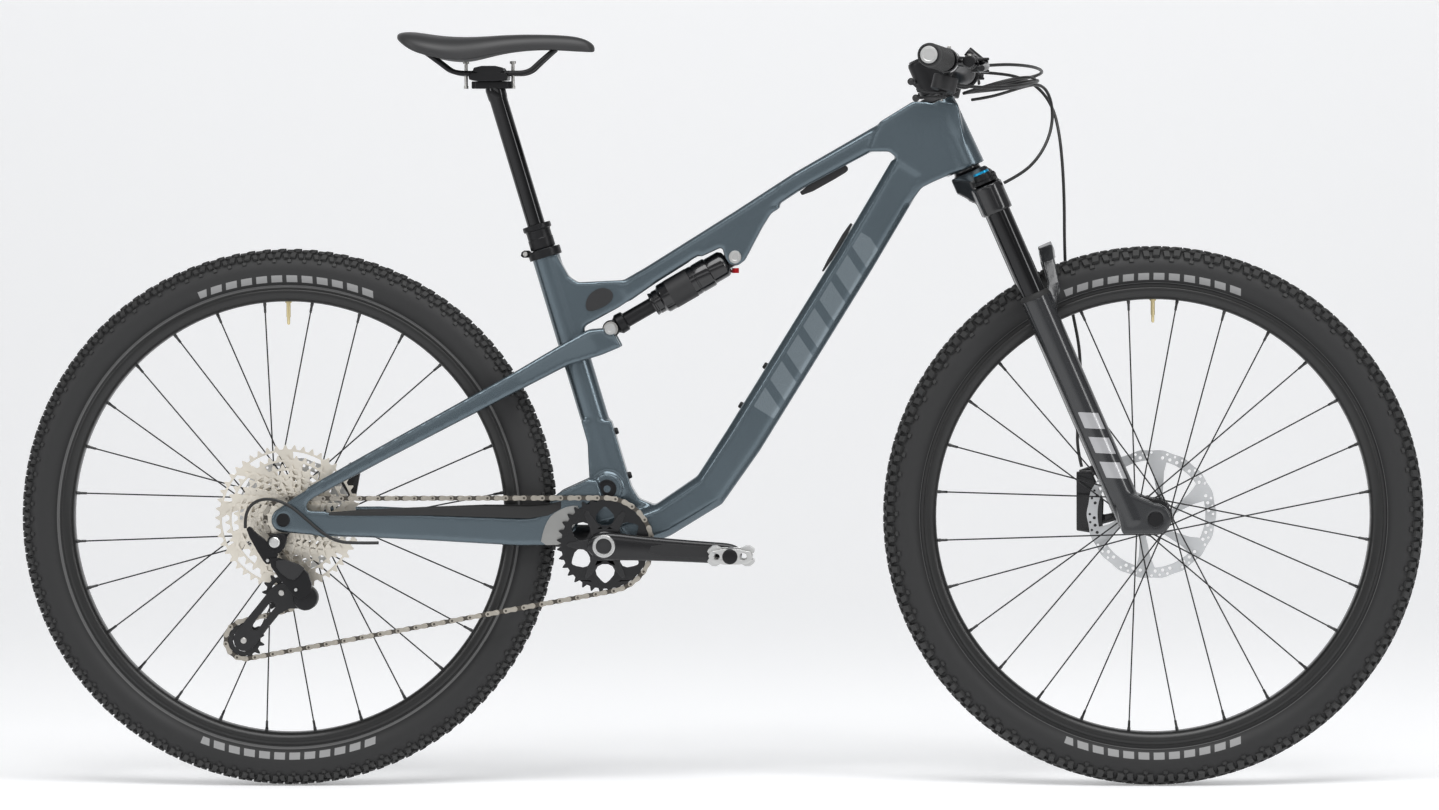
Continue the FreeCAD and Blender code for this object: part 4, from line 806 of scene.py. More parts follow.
def tyre(name, axle, body, look, pitch, blocks):
    """Carcass and tread; blocks are (share of the pitch, degrees over, length, width, height, skew)."""
    bead, foot, steps = math.radians(148), 311, 40
    over = [-bead + 2 * bead * step / steps for step in range(steps + 1)]
    outside, inside = ([(r * math.sin(a), TYRE_MIDDLE + r * math.cos(a)) for a in angles]
                       for r, angles in ((CARCASS, over), (CARCASS - 2.5, over[::-1])))
    outside = [(-12.8, foot), (-13.6, foot + 4)] + outside + [(13.6, foot + 4), (12.8, foot)]
    inside = [(11, foot)] + inside + [(-11, foot)]
    form = Form()
    form.turned(outside + inside, flat(axle), Y_AXIS, 160, closed=True)
    count = round(2 * math.pi * TYRE_RADIUS / pitch)
    for number in range(count):
        for share, degrees, length, width, height, skew in blocks:
            for side in (-1, 1) if degrees else (1,):
                turn = 2 * math.pi * (number + share) / count
                knob(form, axle, turn, math.radians(degrees) * side, length, width, height, skew * side)
    form.piece(name + "_tread", body, look, "tyre", name + "_tyre", crease=28)


def tyres():
    """A fast low tread behind and a blockier one in front."""
    tyre("rear", REAR_AXLE, "rear_wheel", rear_tyre_look, 22,
         ((0.1, 7, 8, 6, 3.2, 1.2), (0.55, 24, 7, 6, 3.2, -1), (0.05, 24, 5, 5, 3.0, 1),
          (0.3, 45, 7, 7, 4.6, 0.8), (0.8, 48, 6, 6, 4.4, -0.8), (0.55, 62, 5, 4, 2.0, 0)))
    tyre("front", FRONT_AXLE, "front_wheel", front_tyre_look, 29,
         ((0.1, 7, 11, 7, 3.4, 1.6), (0.6, 9, 8, 6, 3.4, -1.2), (0.35, 27, 8, 7, 3.6, 1.2),
          (0.85, 25, 8, 6, 3.4, -1), (0.1, 46, 9, 9, 5.4, 0.8), (0.6, 50, 8, 8, 5.2, -0.8),
          (0.35, 66, 6, 4, 2.2, 0)))


def rim(name, axle, body):
    """A carbon rim with rounded walls, with its valve at the top of the wheel."""
    side = [(8, 299.3), (12, 300.6), (15.4, 304.5), (17.1, 309), (17.5, 312), (17.5, 315.2), (16.9, 316),
            (15.6, 315.6), (15.2, 314), (15.2, 310), (10, 309.4), (7, 303.4)]
    profile = side + [(-y, radius) for y, radius in reversed(side)]
    form = Form().turned(profile, flat(axle), Y_AXIS, 160, closed=True)
    form.piece(name + "_rim_shell", body, rim_black, "rim_carbon", name + "_rim", crease=50)
    valve = Form()
    top = Vector((axle.x, 0, axle.z + 300))
    down = Vector((0, 0, -1))
    valve.turned([(-1, 4.6), (2, 4.6), (3, 3.9), (3, 2.9), (22, 2.9), (23, 2.2), (31, 2.2), (33, 1.2)], top,
                 down, 20)
    valve.piece(name + "_valve", body, brass, "silver", crease=30)


def spokes(name, axle, flanges, body):
    """Straight-pull spokes with nipples at the rim and heads at the flanges."""
    count, start_radius, end_radius, lead = 28, 25.85, 299, math.radians(58)
    thick, thin = 1.15, 1.0
    wires, nipples = Form(), Form()
    for number in range(count):
        flange = flanges[number % 2]
        forward = 1 if number % 4 < 2 else -1
        rim_angle = 2 * math.pi * (number + 0.5) / count
        hub_angle = rim_angle - forward * lead
        start = Vector((axle.x + start_radius * math.cos(hub_angle), flange + 1.4 * forward,
                        axle.z + start_radius * math.sin(hub_angle)))
        end = Vector((axle.x + end_radius * math.cos(rim_angle), 3.0 if flange > 0 else -3.0,
                      axle.z + end_radius * math.sin(rim_angle)))
        inward = (start - end).normalized()
        wires.tube([start, start - inward * 8, start - inward * 12, end], [thick, thick, thin, thin], 8)
        nipples.turned([(-0.5, 2.4), (3, 2.4), (5, 1.9), (13, 1.8), (14, 1.2)], end, inward, 12)
        nipples.turned([(-3.5, 2.6), (-1, 2.6), (1.5, 1.5)], start, -inward, 12)
    wires.piece(name + "_spoke_set", body, spoke_black, "steel", name + "_spokes")
    nipples.piece(name + "_nipples", body, gloss_black, "dark_metal")


def hub(name, axle, half, flanges, left_end, body):
    """A hub shell with straight-pull flanges, a rotor mount and end caps."""
    right, left = flanges
    at = flat(axle)
    profile = [(-half, 8.5), (-half, 11.5), (-half + 3, 12), (right - 6, 12), (right - 3.5, 15),
               (right - 3.2, 24), (right - 2.2, 25), (right + 2.2, 25), (right + 3.2, 24), (right + 4, 18),
               (right + 9, 14.6), (0.5 * (right + left), 13.4), (left - 9, 14.6), (left - 4, 18),
               (left - 3.2, 24), (left - 2.2, 25), (left + 2.2, 25), (left + 3.2, 24), (left + 4, 15),
               (left_end, 14), (left_end + 2, 11), (half - 2, 10.5), (half, 10), (half, 8.5)]
    form = Form().turned(profile, at, Y_AXIS, 64)
    form.piece(name + "_hub_shell", body, gloss_black, "dark_metal", name + "_hub", crease=28)
    ring = Form().turned([(left_end - 0.5, 19), (left_end + 1.2, 19), (left_end + 1.8, 18),
                          (left_end + 1.8, 14)], at, Y_AXIS, 18)
    ring.piece(name + "_lock_ring", body, anodised, "dark_metal", bevel=0.3)


def rotor(name, axle, radius, y, body):
    """A brake rotor: a drilled braking ring with a waved edge, on slanted arms."""
    arms, edge_points = 6, 180
    outline = []
    for step in range(edge_points):
        angle = 2 * math.pi * step / edge_points
        reach = radius - 0.7 * (1 - math.cos(angle * 18))
        outline.append(polar(axle, reach, angle))
    holes = [circle(axle.x, axle.z, 14.4, 32)]
    holes += windows(axle, arms, 21, radius - 15, 0.74, slant=0.55)
    for row, (reach, size, count) in enumerate(((radius - 4.4, 1.8, 48), (radius - 10.4, 2.3, 48))):
        for number in range(count):
            angle = 2 * math.pi * (number + 0.5 * row) / count
            if number % 4 != 3:
                holes.append(circle(*polar(axle, reach, angle), size, 10))
    form = Form().plate(outline, y - 0.9, y + 0.9, holes)
    form.piece(name + "_rotor_disc", body, rotor_steel, "steel", name + "_rotor", bevel=0.2)
    carrier = Form()
    star = []
    for number in range(arms):
        turn = 2 * math.pi * number / arms
        star += [polar(axle, r, a) for r, a in ((27, turn - 0.13), (27, turn - 0.4),
                                                (18.5, 2 * math.pi * (number - 0.5) / arms - 0.2))]
    carrier.plate(soft(star, 1), y - 1.5, y + 1.5, [circle(axle.x, axle.z, 14.2, 24)])
    carrier.piece(name + "_rotor_carrier", body, anodised, "dark_metal", bevel=0.4)


def wheels():
    """Both wheels."""
    tyres()
    for name, axle, half, flanges, radius, y in (
            ("rear", REAR_AXLE, 73.9, (-17, 38), 80, REAR_ROTOR_Y),
            ("front", FRONT_AXLE, 54.9, (-34, 18), 90, FRONT_ROTOR_Y)):
        body = name + "_wheel"
        rim(name, axle, body)
        spokes(name, axle, flanges, body)
        hub(name, axle, half, flanges, y + 2, body)
        rotor(name, axle, radius, y, body)


# ---------------------------------------------------------------- frame

def frame_parts():
    """The moulded main frame and what is fixed to it."""
    moulded("frame_skin", ("upper_frame", "down_tube", "seat_tube", "bracket_shell"), "frame", paint_striped,
            2.3, 8)
    moulded("headset_cap", ("headset_cover",), "frame", plastic_black, 0.9, 6)
    collar = Form()
    top = seat_at(COLLAR_Z) - SEAT_UP
    collar.turned([(-12, 19.8), (-12, 22.4), (-11.2, 23), (-0.8, 23), (0, 22.4), (0, 19.8)], top, SEAT_UP,
                  64, closed=True)
    ear = seat_at(COLLAR_Z - 8)
    back = ear.x - 27
    collar.plate(soft([(back - 7, ear.z - 5), (back + 8, ear.z - 5), (back + 8, ear.z + 5),
                       (back - 5, ear.z + 5)], 1), -6, 6)
    collar.piece("collar_band", "frame", anodised, "dark_metal", "seat_collar", bevel=0.5)
    Form().screw(Vector((back, -6, ear.z)), -Y_AXIS, 3.6, 2.5).piece("collar_bolt", "frame", steel, "steel")


def dropper_parts():
    """The seatpost: fixed tube with its wiper collar, and the sliding tube with its head."""
    fixed = Form()
    rim_at = seat_at(COLLAR_Z)
    fixed.turned([(-60, 15.4), (0, 15.4), (0.3, 17.2), (1.5, 17.6), (14, 17.6), (15, 17), (24, 17),
                  (26, 17.4), (27, 19.4), (28, 19.9), (33.4, 19.9), (34.2, 19.2), (34.4, 14), (33, 12.7)],
                 rim_at, SEAT_UP, 64)
    fixed.piece("post_collar", "frame", anodised, "dark_metal", "dropper_outer_tube", crease=25)
    slider = Form()
    profile = [(650, 12.4), (652, 12.5), (950, 12.5), (954, 13.6), (966, 14), (970, 13)]
    slider.turned([((height - COLLAR_Z) / SEAT_UP.z, radius) for height, radius in profile], rim_at, SEAT_UP,
                  64)
    slider.piece("post_slider", "seatpost", stanchion_black, "dark_metal", crease=25)
    outline = ((-342, -8), (-336, -14), (-292, -14), (-286, -8),
               (-286, 8), (-292, 14), (-336, 14), (-342, 8))
    head = Form().rings([[Vector((x, y, z)) for x, y in outline] for z in (966, 976)])
    head.piece("post_head", "seatpost", anodised, "dark_metal", "dropper_stanchion", bevel=1.2)


def bolt_heads():
    """Bottle cage bolts, pivot bolts and the shock's bolts."""
    black, pale, lugs, rear = Form(), Form(), Form(), Form()
    for (x, z), along in (((47.6, 553.5), DOWN_TUBE_UP), ((-136.1, 460.5), SEAT_TUBE_UP)):
        outward = Vector((-along.z, 0, along.x)) * (1 if along.x > 0 else -1)
        for share in (-0.5, 0.5):
            black.screw(Vector((x, 0, z)) + along * (share * BOTTLE_BOLTS_APART), outward, 4.8, 4.5)
    for side in (-1, 1):
        out = Y_AXIS * side
        lugs.turned([(30, 18), (41.2, 18), (42.4, 17), (42.6, 13)], PIVOT, out, 64)
        black.turned([(40, 13), (43.4, 13), (44, 12.4), (44, 10.5), (43, 10), (43, 5), (41.5, 4.5)], PIVOT,
                     out, 48)
        pale.turned([(20, 9), (22.6, 9), (23.6, 8.2), (23.6, 5), (22, 4.4), (22, 1)], SHOCK_FRONT, out, 32)
        rear.turned([(29, 8), (31.4, 8), (32, 7.4), (32, 4), (31, 3.6), (31, 1)], SHOCK_REAR, out, 32)
    black.piece("black_bolts", "frame", anodised, "dark_metal", crease=25)
    lugs.piece("pivot_lugs", "swingarm", paint, "frame_paint", crease=25)
    rear.piece("yoke_bolt_heads", "swingarm", silver, "steel", crease=25)
    pale.piece("shock_bolt_heads", "frame", silver, "steel", "frame_bolts", crease=25)


def frame_fittings():
    """Port cover, tool under the top tube, casing clip and bottom bracket cups."""
    for name, outline, passes, low, high, bevel in (
            ("port_cover", [(-181, 655), (-150, 668), (-145, 684), (-160, 692), (-178, 684), (-186, 668)],
             2, -19.2, -16, 0.8),
            ("tool_holder", [(174, 860), (110, 824), (116, 815), (172, 846), (180, 853)], 1, -8, 8, 1.2),
            ("casing_clip", [(186, 776), (146, 712), (140, 712), (180, 780)], 1, -6, 6, 1.0)):
        plate = Form().plate(soft(outline, passes), low, high)
        plate.piece(name, "frame", plastic_black, "black_plastic", bevel=bevel)
    cups = Form()
    for side in (-1, 1):
        cups.turned([(39, 21), (46, 21), (46, 24), (52.4, 24), (53.2, 23.2), (53.2, 13), (52, 12.4)],
                    BRACKET, Y_AXIS * side, 16)
    cups.piece("bracket_cup_rings", "frame", anodised, "dark_metal", "frame_bearings", bevel=0.5)


def swingarm_parts():
    """The moulded rear triangle, its caliper, hanger, axle, guards and yoke sleeves."""
    moulded("swingarm_skin", ("rear_triangle",), "swingarm", paint, 2.2, 7)
    moulded("rear_caliper_body", ("rear_caliper",), "swingarm", gloss_black, 0.9, 5)
    moulded("hanger_plate", ("derailleur_hanger",), "swingarm", anodised, 0.7, 4)
    axle = Form().turned([(-84, 4), (-84, 8), (-83, 9.4), (-79, 9.4), (-78, 6), (78, 6), (79, 9), (83, 9),
                          (84, 8), (84, 4)], REAR_AXLE, Y_AXIS, 40)
    axle.piece("rear_axle_ends", "swingarm", anodised, "dark_metal", "rear_axle", crease=25)
    stations = ((-536, -76, 379, 383.5, 5), (-480, -68, 378.5, 387, 8.2), (-400, -52.5, 378, 389.5, 9),
                (-324, -46.5, 375, 392, 9), (-262, -43.2, 373, 391.5, 8.4), (-236, -43, 377, 393.5, 8),
                (-214, -43, 388, 400.5, 6.8))
    guard = Form().rings([[Vector((x, y + across * half, z)) for across, z in (
        (-1, low), (-1, high - 2), (-0.7, high), (0.7, high), (1, high - 2), (1, low))]
        for x, y, low, high, half in stations])
    guard.piece("chainstay_guard", "swingarm", rubber_black, "black_plastic", bevel=0.8)
    plate = Form().plate(soft([(-247, 336), (-214, 337), (-208, 352), (-196, 368), (-191, 390), (-206, 391),
                               (-226, 382), (-235, 373), (-242, 358)], 1), -51.4, -45)
    plate.piece("chain_plate", "swingarm", guard_steel, "steel", bevel=0.3)
    sleeves = Form()
    for side in (-1, 1):
        sleeves.turned([(13.2, 6.8), (13.2, 9.5), (14.5, 10), (24, 10)], SHOCK_REAR, Y_AXIS * side, 32)
    sleeves.piece("yoke_sleeves", "swingarm", steel, "steel", "yoke_bolts", crease=25)


# ---------------------------------------------------------------- shock

def shock():
    """Front eye, air can with its steps and a plain band, shaft with its rear eye, and the red knob."""
    can = Form()
    can.turned([(12, 8), (14, 15), (18, 18.2), (20, 19), (40, 19), (41, 20.4), (43, 21), (60, 21),
                (60.6, 20.4), (62.4, 20.4), (63, 21), (114, 21), (116, 20.5), (118, 18), (119, 17),
                (126, 17), (127, 16.2), (129, 16.2), (130, 17), (132, 16.6), (132.4, 11.2)], SHOCK_FRONT,
               SHOCK_ALONG, 72)
    can.turned([(-12, 4.2), (-12, 10.5), (-11, 12), (11, 12), (12, 10.5), (12, 4.2)], SHOCK_FRONT, Y_AXIS,
               48, closed=True)
    can.rings([[SHOCK_FRONT + SHOCK_ALONG * s + Vector((-SHOCK_ALONG.z, 0, SHOCK_ALONG.x)) * u + Y_AXIS * v
                for u, v in ((10, -9), (11, 0), (10, 9), (-10, 9), (-11, 0), (-10, -9))] for s in (6, 22)])
    can.piece("shock_body_shell", "shock_body", gloss_black, "dark_metal", "shock_can", crease=25)
    band = Form().turned([(70, 21.1), (70, 21.25), (104, 21.25), (104, 21.1)], SHOCK_FRONT, SHOCK_ALONG, 72,
                         closed=True)
    band.piece("shock_band", "shock_body", plastic_black, "black_plastic")
    shaft = Form()
    reach = (SHOCK_REAR - SHOCK_FRONT).length
    shaft.turned([(104, 10.6), (reach - 24, 10.6), (reach - 22, 14), (reach - 12, 14.5), (reach - 8, 11),
                  (reach - 4, 9)], SHOCK_FRONT, SHOCK_ALONG, 56)
    shaft.turned([(-10.4, 5), (-10.4, 10.6), (-9.4, 12), (9.4, 12), (10.4, 10.6), (10.4, 5)], SHOCK_REAR,
                 Y_AXIS, 48, closed=True)
    shaft.piece("shock_shaft_rod", "shock_shaft_body", anodised, "steel", "shock_shaft", crease=25)
    knob_form = Form()
    low, high = corners("rebound_knob")
    middle = Vector(((low.x + high.x) / 2, (low.y + high.y) / 2, high.z))
    for band_low, band_high in ((0, 1.6), (1.6, 6.9)):
        ridged = [(2 * math.pi * step / 36, (5.0 - 0.5 * (step % 2)) if band_low else 5.0)
                  for step in range(36)]
        knob_form.rings([[middle + Vector((r * math.cos(a), r * math.sin(a), -z)) for a, r in ridged]
                         for z in (band_low, band_high)])
    knob_form.piece("damping_knob", "rebound_knob_body", knob_red, "red_anodised", "rebound_knob",
                    bevel=0.25)


# ---------------------------------------------------------------- drivetrain

def cassette():
    """Twelve sprockets, the large ones cut away between slanted arms, with rivets."""
    form, rivets = Form(), Form()
    for place, teeth in enumerate(SPROCKETS):
        y = CHAIN_Y + (place - SPROCKET_IN_USE) * SPROCKET_SPACING
        root = sprocket_radius(teeth) - 7
        holes = [circle(REAR_AXLE.x, REAR_AXLE.z, 15 if root > 20 else 12.2, 32)]
        if teeth >= 21:
            middle = root * 0.62 if root > 40 else 20
            holes += windows(REAR_AXLE, 7 if root < 60 else 9, middle + 3, root, 0.7, slant=0.22,
                             start=place * 0.2)
            if middle > 22:
                holes += windows(REAR_AXLE, 7, 18, middle - 3, 0.66, slant=0.2, start=place * 0.3)
                for number in range(7):
                    angle = 2 * math.pi * number / 7 + place * 0.3
                    point = REAR_AXLE + Vector((middle * math.cos(angle), 0, middle * math.sin(angle)))
                    rivets.turned([(0, 2.0), (0.9, 1.8), (1.2, 1)],
                                  Vector((point.x, y - SPROCKET_HALF, point.z)), -Y_AXIS, 14)
        form.plate(toothed(REAR_AXLE, teeth), y - SPROCKET_HALF, y + SPROCKET_HALF, holes)
    form.piece("cassette_sprockets", "cassette_body", nickel, "steel", "cassette", bevel=0.2)
    rivets.piece("cassette_rivets", "cassette_body", steel, "steel")
    core = Form()
    first = CHAIN_Y - SPROCKET_IN_USE * SPROCKET_SPACING
    last = CHAIN_Y + (len(SPROCKETS) - 1 - SPROCKET_IN_USE) * SPROCKET_SPACING
    core.turned([(first - 1.5, 11), (first - 1.5, 14), (first - 0.6, 15), (first + 12, 15.5), (last, 18),
                 (last, 12.2)], flat(REAR_AXLE), Y_AXIS, 40)
    core.piece("cassette_core", "cassette_body", anodised, "steel", crease=25)


def chain_wheels():
    """The wheels that the chain goes round, in order: (centre, radius, turn)."""
    return [(BRACKET, sprocket_radius(RING_TEETH), -1), (TENSION_PULLEY, sprocket_radius(PULLEY_TEETH), -1),
            (GUIDE_PULLEY, sprocket_radius(PULLEY_TEETH), 1),
            (REAR_AXLE, sprocket_radius(SPROCKETS[SPROCKET_IN_USE]), -1)]


def chain_stretches():
    """The chain's line as stretches, each with its length and a function from distance to point."""
    wheels_round = chain_wheels()
    tangents = []
    following = wheels_round[1:] + wheels_round[:1]
    for (centre, radius, turn), (other, far_radius, far_turn) in zip(wheels_round, following):
        span = Vector((other.x - centre.x, 0, other.z - centre.z))
        heading = math.atan2(span.z,
                             span.x) + math.asin(-(far_turn * far_radius - turn * radius) / span.length)
        left = Vector((-math.sin(heading), 0, math.cos(heading)))
        tangents.append((flat(centre) - left * (turn * radius),
                         flat(other) - left * (far_turn * far_radius)))
    stretches = []
    for number, (start, end) in enumerate(tangents):
        length = (end - start).length
        stretches.append(("run%d" % number, length, lambda s, a=start, b=end, n=length: a.lerp(b, s / n)))
        centre, radius, turn = wheels_round[(number + 1) % 4]
        leave = tangents[(number + 1) % 4][0]
        first = math.atan2(end.z - centre.z, end.x - centre.x)
        last = math.atan2(leave.z - centre.z, leave.x - centre.x)
        while turn * (last - first) < 0:
            last += turn * 2 * math.pi
        stretches.append(("wrap%d" % number, abs(last - first) * radius,
                          lambda s, c=centre, r=radius, t=turn, f=first: on_circle(c, r, f + t * s / r)))
    return stretches


def chain_link(form, start, end, outer):
    """One link: its two side plates, and the roller and pin at its start."""
    along = end - start
    heading = math.atan2(along.z, along.x)
    outline = []
    for centre, first in ((end, heading - 1.9), (start, heading + math.pi - 1.9)):
        for step in range(7):
            outline.append(polar(centre, 3.7, first + 3.8 * step / 6))
        side = heading + math.pi / 2 if centre is end else heading - math.pi / 2
        middle = (start + end) / 2
        outline.append((middle.x + 2.7 * math.cos(side), middle.z + 2.7 * math.sin(side)))
    inner_face, thickness = 1.95 if outer else 1.2, 0.75
    for side in (-1, 1):
        low, high = sorted((CHAIN_Y + side * inner_face, CHAIN_Y + side * (inner_face + thickness)))
        form.plate(outline, low, high)
    at = Vector((start.x, CHAIN_Y, start.z))
    form.turned([(-1.15, 3.7), (1.15, 3.7)], at, Y_AXIS, 12)
    form.turned([(-2.85, 1.5), (-2.7, 1.75), (2.7, 1.75), (2.85, 1.5)], at, Y_AXIS, 10)


def chain():
    """Every link of the chain, in groups that follow the bodies they lie on."""
    stretches = chain_stretches()
    total = sum(length for _, length, _ in stretches)
    links = 2 * round(total / PITCH / 2)
    step = total / links

    def point_at(distance):
        distance %= total
        for name, length, place in stretches:
            if distance <= length:
                return name, place(distance), distance / length
            distance -= length
        return name, place(0), 0

    groups = {}
    for number in range(links):
        _, start, _ = point_at(number * step)
        _, end, _ = point_at((number + 1) * step)
        name, _, share = point_at((number + 0.5) * step)
        if name == "run0":
            name = "run0_front" if share < 0.5 else "run0_rear"
        chain_link(groups.setdefault((name, number % 2), Form()), start, end, number % 2)
    run = {name: (place(0), place(length)) for name, length, place in stretches}
    lower_middle = run["run0"][0].lerp(run["run0"][1], 0.5)
    bodies = {"wrap0": "derailleur_cage_body", "run1": "derailleur_cage_body",
              "wrap1": "derailleur_cage_body", "wrap2": "swingarm", "wrap3": "frame"}
    blends = {"run0_front": ("frame", "swingarm", run["run0"][0], lower_middle),
              "run0_rear": ("swingarm", "derailleur_cage_body", lower_middle, run["run0"][1]),
              "run2": ("derailleur_cage_body", "swingarm", *run["run2"]),
              "run3": ("swingarm", "frame", *run["run3"])}
    for (name, outer), form in groups.items():
        kind, look = ("outer", chain_steel) if outer else ("inner", chain_dark)
        obj = form.piece("chain_%s_%s" % (name, kind), bodies.get(name), look, crease=30)
        if name in blends:
            first, second, start, end = blends[name]
            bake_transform(obj)
        if name == "wrap3":
            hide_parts("chain")


def crank_point(along, across, side):
    """A point of a crank arm: distance along it from the spindle and across it."""
    pedal = joint_at("right_pedal_spin" if side > 0 else "left_pedal_spin")
    direction = Vector((pedal.x - BRACKET.x, 0, pedal.z - BRACKET.z)).normalized()
    normal = Vector((-direction.z, 0, direction.x))
    return flat(BRACKET) + direction * along + normal * across


def crank_arms():
    """Both arms with chamfered sides, a grey inset, and the hollow spindle's ends, each with a dark disc of
    painted shade standing for the hollow's depth.
    """
    for side, name in ((1, "right"), (-1, "left")):
        face, back = (-90, -74) if side > 0 else (90, 74)
        inward = 1 if back > face else -1
        form = Form()
        loops = []
        for along, half in ((-23, 5), (-19, 12), (-10, 17), (4, 19.5), (18, 19.5), (45, 17.6), (90, 16),
                            (150, 15), (168, 15), (180, 13), (187, 8), (190, 3)):
            section = ((0.66, 0), (0.92, 3.2), (1, 6.5), (0.9, 16), (-0.9, 16), (-1, 6.5), (-0.92, 3.2),
                       (-0.66, 0))
            loops.append([crank_point(along, half * share, side) + Y_AXIS * (face + inward * depth)
                          for share, depth in section])
        form.rings(loops)
        form.piece("crank_arm_" + name, "crankset", forged_black, "dark_metal", "crank_" + name, subdivide=2)
        inset = Form()
        panel = [crank_point(a, b, side) for a, b in ((58, -9), (68, 9), (146, 8), (150, 0), (146, -8))]
        low, high = sorted((face - inward * 0.35, face + inward * 2))
        inset.plate(soft([(p.x, p.z) for p in panel], 1), low, high)
        inset.piece("crank_inset_" + name, "crankset", arm_grey, "black_plastic", bevel=0.3)
        end = Form()
        out = Y_AXIS * (-side)
        end.turned([(88, 13), (91, 15.5), (92.4, 15.5), (93.2, 14.6), (93.2, 11), (89.6, 9.6), (89.6, 13)],
                   flat(BRACKET), out, 56, closed=True)
        end.piece("spindle_ring_" + name, "crankset", silver, "silver", crease=25)
        # Painted shade: a dark disc set inside the silver ring stands in for the shaded depth of the hollow
        # spindle.
        hollow_shade = Form().turned([(88, 10.5), (90.4, 10.5), (90.4, 6), (90, 2)], flat(BRACKET), out, 40)
        hollow_shade.piece("spindle_hollow_shade_" + name, "crankset", plastic_black, "black_plastic", crease=25)
        boss = Form().turned([(89, 8), (91, 8), (91.4, 7.4), (91.4, 4)], crank_point(175, 0, side), out, 32)
        boss.piece("pedal_boss_" + name, "crankset", steel, "steel", crease=25)


def chainring():
    """A direct-mount ring with six openings between its arms."""
    holes = [circle(BRACKET.x, BRACKET.z, 13, 32)]
    for number in range(6):
        turn = math.radians(-90 + 60 * number)
        pentagon = [(28, -0.30), (28, 0.30), (41, 0.37), (52.5, 0.05), (52.5, -0.05), (41, -0.37)]
        holes.append(soft([polar(BRACKET, r, turn + a) for r, a in pentagon], 1))
    form = Form().plate(toothed(BRACKET, RING_TEETH), CHAIN_Y - 1, CHAIN_Y + 1, holes)
    form.piece("ring_plate", "crankset", forged_black, "dark_metal", "chainring", bevel=0.25)
    spider = Form()
    star = []
    for number in range(6):
        turn = math.radians(-60 + 60 * number)
        for reach, offset in ((23, -0.30), (50, -0.08), (54, 0), (50, 0.08), (23, 0.30)):
            star.append(polar(BRACKET, reach, turn + offset))
    spider.plate(soft(star, 1), CHAIN_Y - 3.4, CHAIN_Y - 1.1, [circle(BRACKET.x, BRACKET.z, 13, 32)])
    spider.turned([(56, 13), (56, 19), (72, 19), (74, 15)], flat(BRACKET), -Y_AXIS, 48)
    spider.piece("ring_spider", "crankset", gloss_black, "dark_metal", bevel=0.5)


def pulleys():
    """Both derailleur pulleys with holes and a bush."""
    for name, centre in (("guide_pulley", GUIDE_PULLEY), ("tension_pulley", TENSION_PULLEY)):
        holes = [circle(centre.x, centre.z, 4.2, 20)] + windows(centre, 6, 8.5, 16, 0.62)
        form = Form()
        form.plate(toothed(centre, PULLEY_TEETH), CHAIN_Y - 1, CHAIN_Y + 1, holes)
        form.turned([(-2.2, 4.2), (-2.2, 7), (2.2, 7), (2.2, 4.2)], centre, Y_AXIS, 32, closed=True)
        form.piece(name + "_wheel", name + "_body", plastic_black, "black_plastic", name, bevel=0.2)


def derailleur():
    """Knuckle, links, spring housing and slotted cage, with their bolts."""
    body = Form()
    body.plate(soft([(-650, 360), (-644, 366), (-636, 356), (-622, 346), (-614, 334), (-604, 328),
                     (-609, 318), (-620, 311), (-627, 319)], 1), -91, -82)
    body.plate(soft([(-618, 350), (-606, 356), (-592, 352), (-594, 339), (-603, 327), (-614, 330)], 1),
               -91.5, -82)
    body.turned([(82, 10), (91, 10.5), (93, 9.8)], Vector((-609.5, 0, 343)), -Y_AXIS, 40)
    body.plate(soft([(-622, 320), (-600, 322), (-566, 308), (-556, 278), (-572, 262), (-590, 276)], 1), -96,
               -85)
    body.plate(soft([(-618, 316), (-606, 318), (-574, 284), (-584, 270)], 1), -83, -69)
    body.turned([(68, 15), (69, 17), (90, 17), (93, 15.5), (94.5, 11)], flat(CAGE_PIVOT),
                -Y_AXIS, 56)
    body.piece("derailleur_links", "swingarm", anodised, "dark_metal", "derailleur_body", bevel=1.0)
    window = Form().plate(soft([(-607, 322), (-566, 311), (-573, 299), (-585, 289), (-607, 306)], 1), -98.5,
                          -95.5)
    window.piece("derailleur_panel", "swingarm", arm_grey, "dark_metal", bevel=0.6)
    bolts = Form()
    for x, z, y, size in ((-609.5, 343, -93, 7.4), (-619, 318, -91, 2.6), (-580, 278, -96, 2.6)):
        bolts.screw(Vector((x, y, z)), -Y_AXIS, size, 3)
    bolts.piece("derailleur_bolts", "swingarm", silver, "steel", crease=25)
    cage = Form()
    outline = soft([(-566, 250), (-553, 262), (-558, 277), (-598, 287), (-616, 281), (-627, 266),
                    (-659, 227), (-671, 212), (-668, 196), (-655, 190), (-643, 195), (-629, 216),
                    (-601, 250)], 1)
    slots = [capsule((-617, 254), (-640, 225), 5)]
    for low, high in ((-67, -64.6), (-49.5, -47.5)):
        cage.plate(outline, low, high, slots)
    cage.piece("cage_plates", "derailleur_cage_body", forged_black, "dark_metal", "derailleur_cage",
               bevel=0.5)
    screws = Form()
    for point in (GUIDE_PULLEY, TENSION_PULLEY):
        screws.screw(Vector((point.x, -67, point.z)), -Y_AXIS, 4.2, 1.8)
    screws.piece("cage_bolts", "derailleur_cage_body", steel, "steel", crease=25)


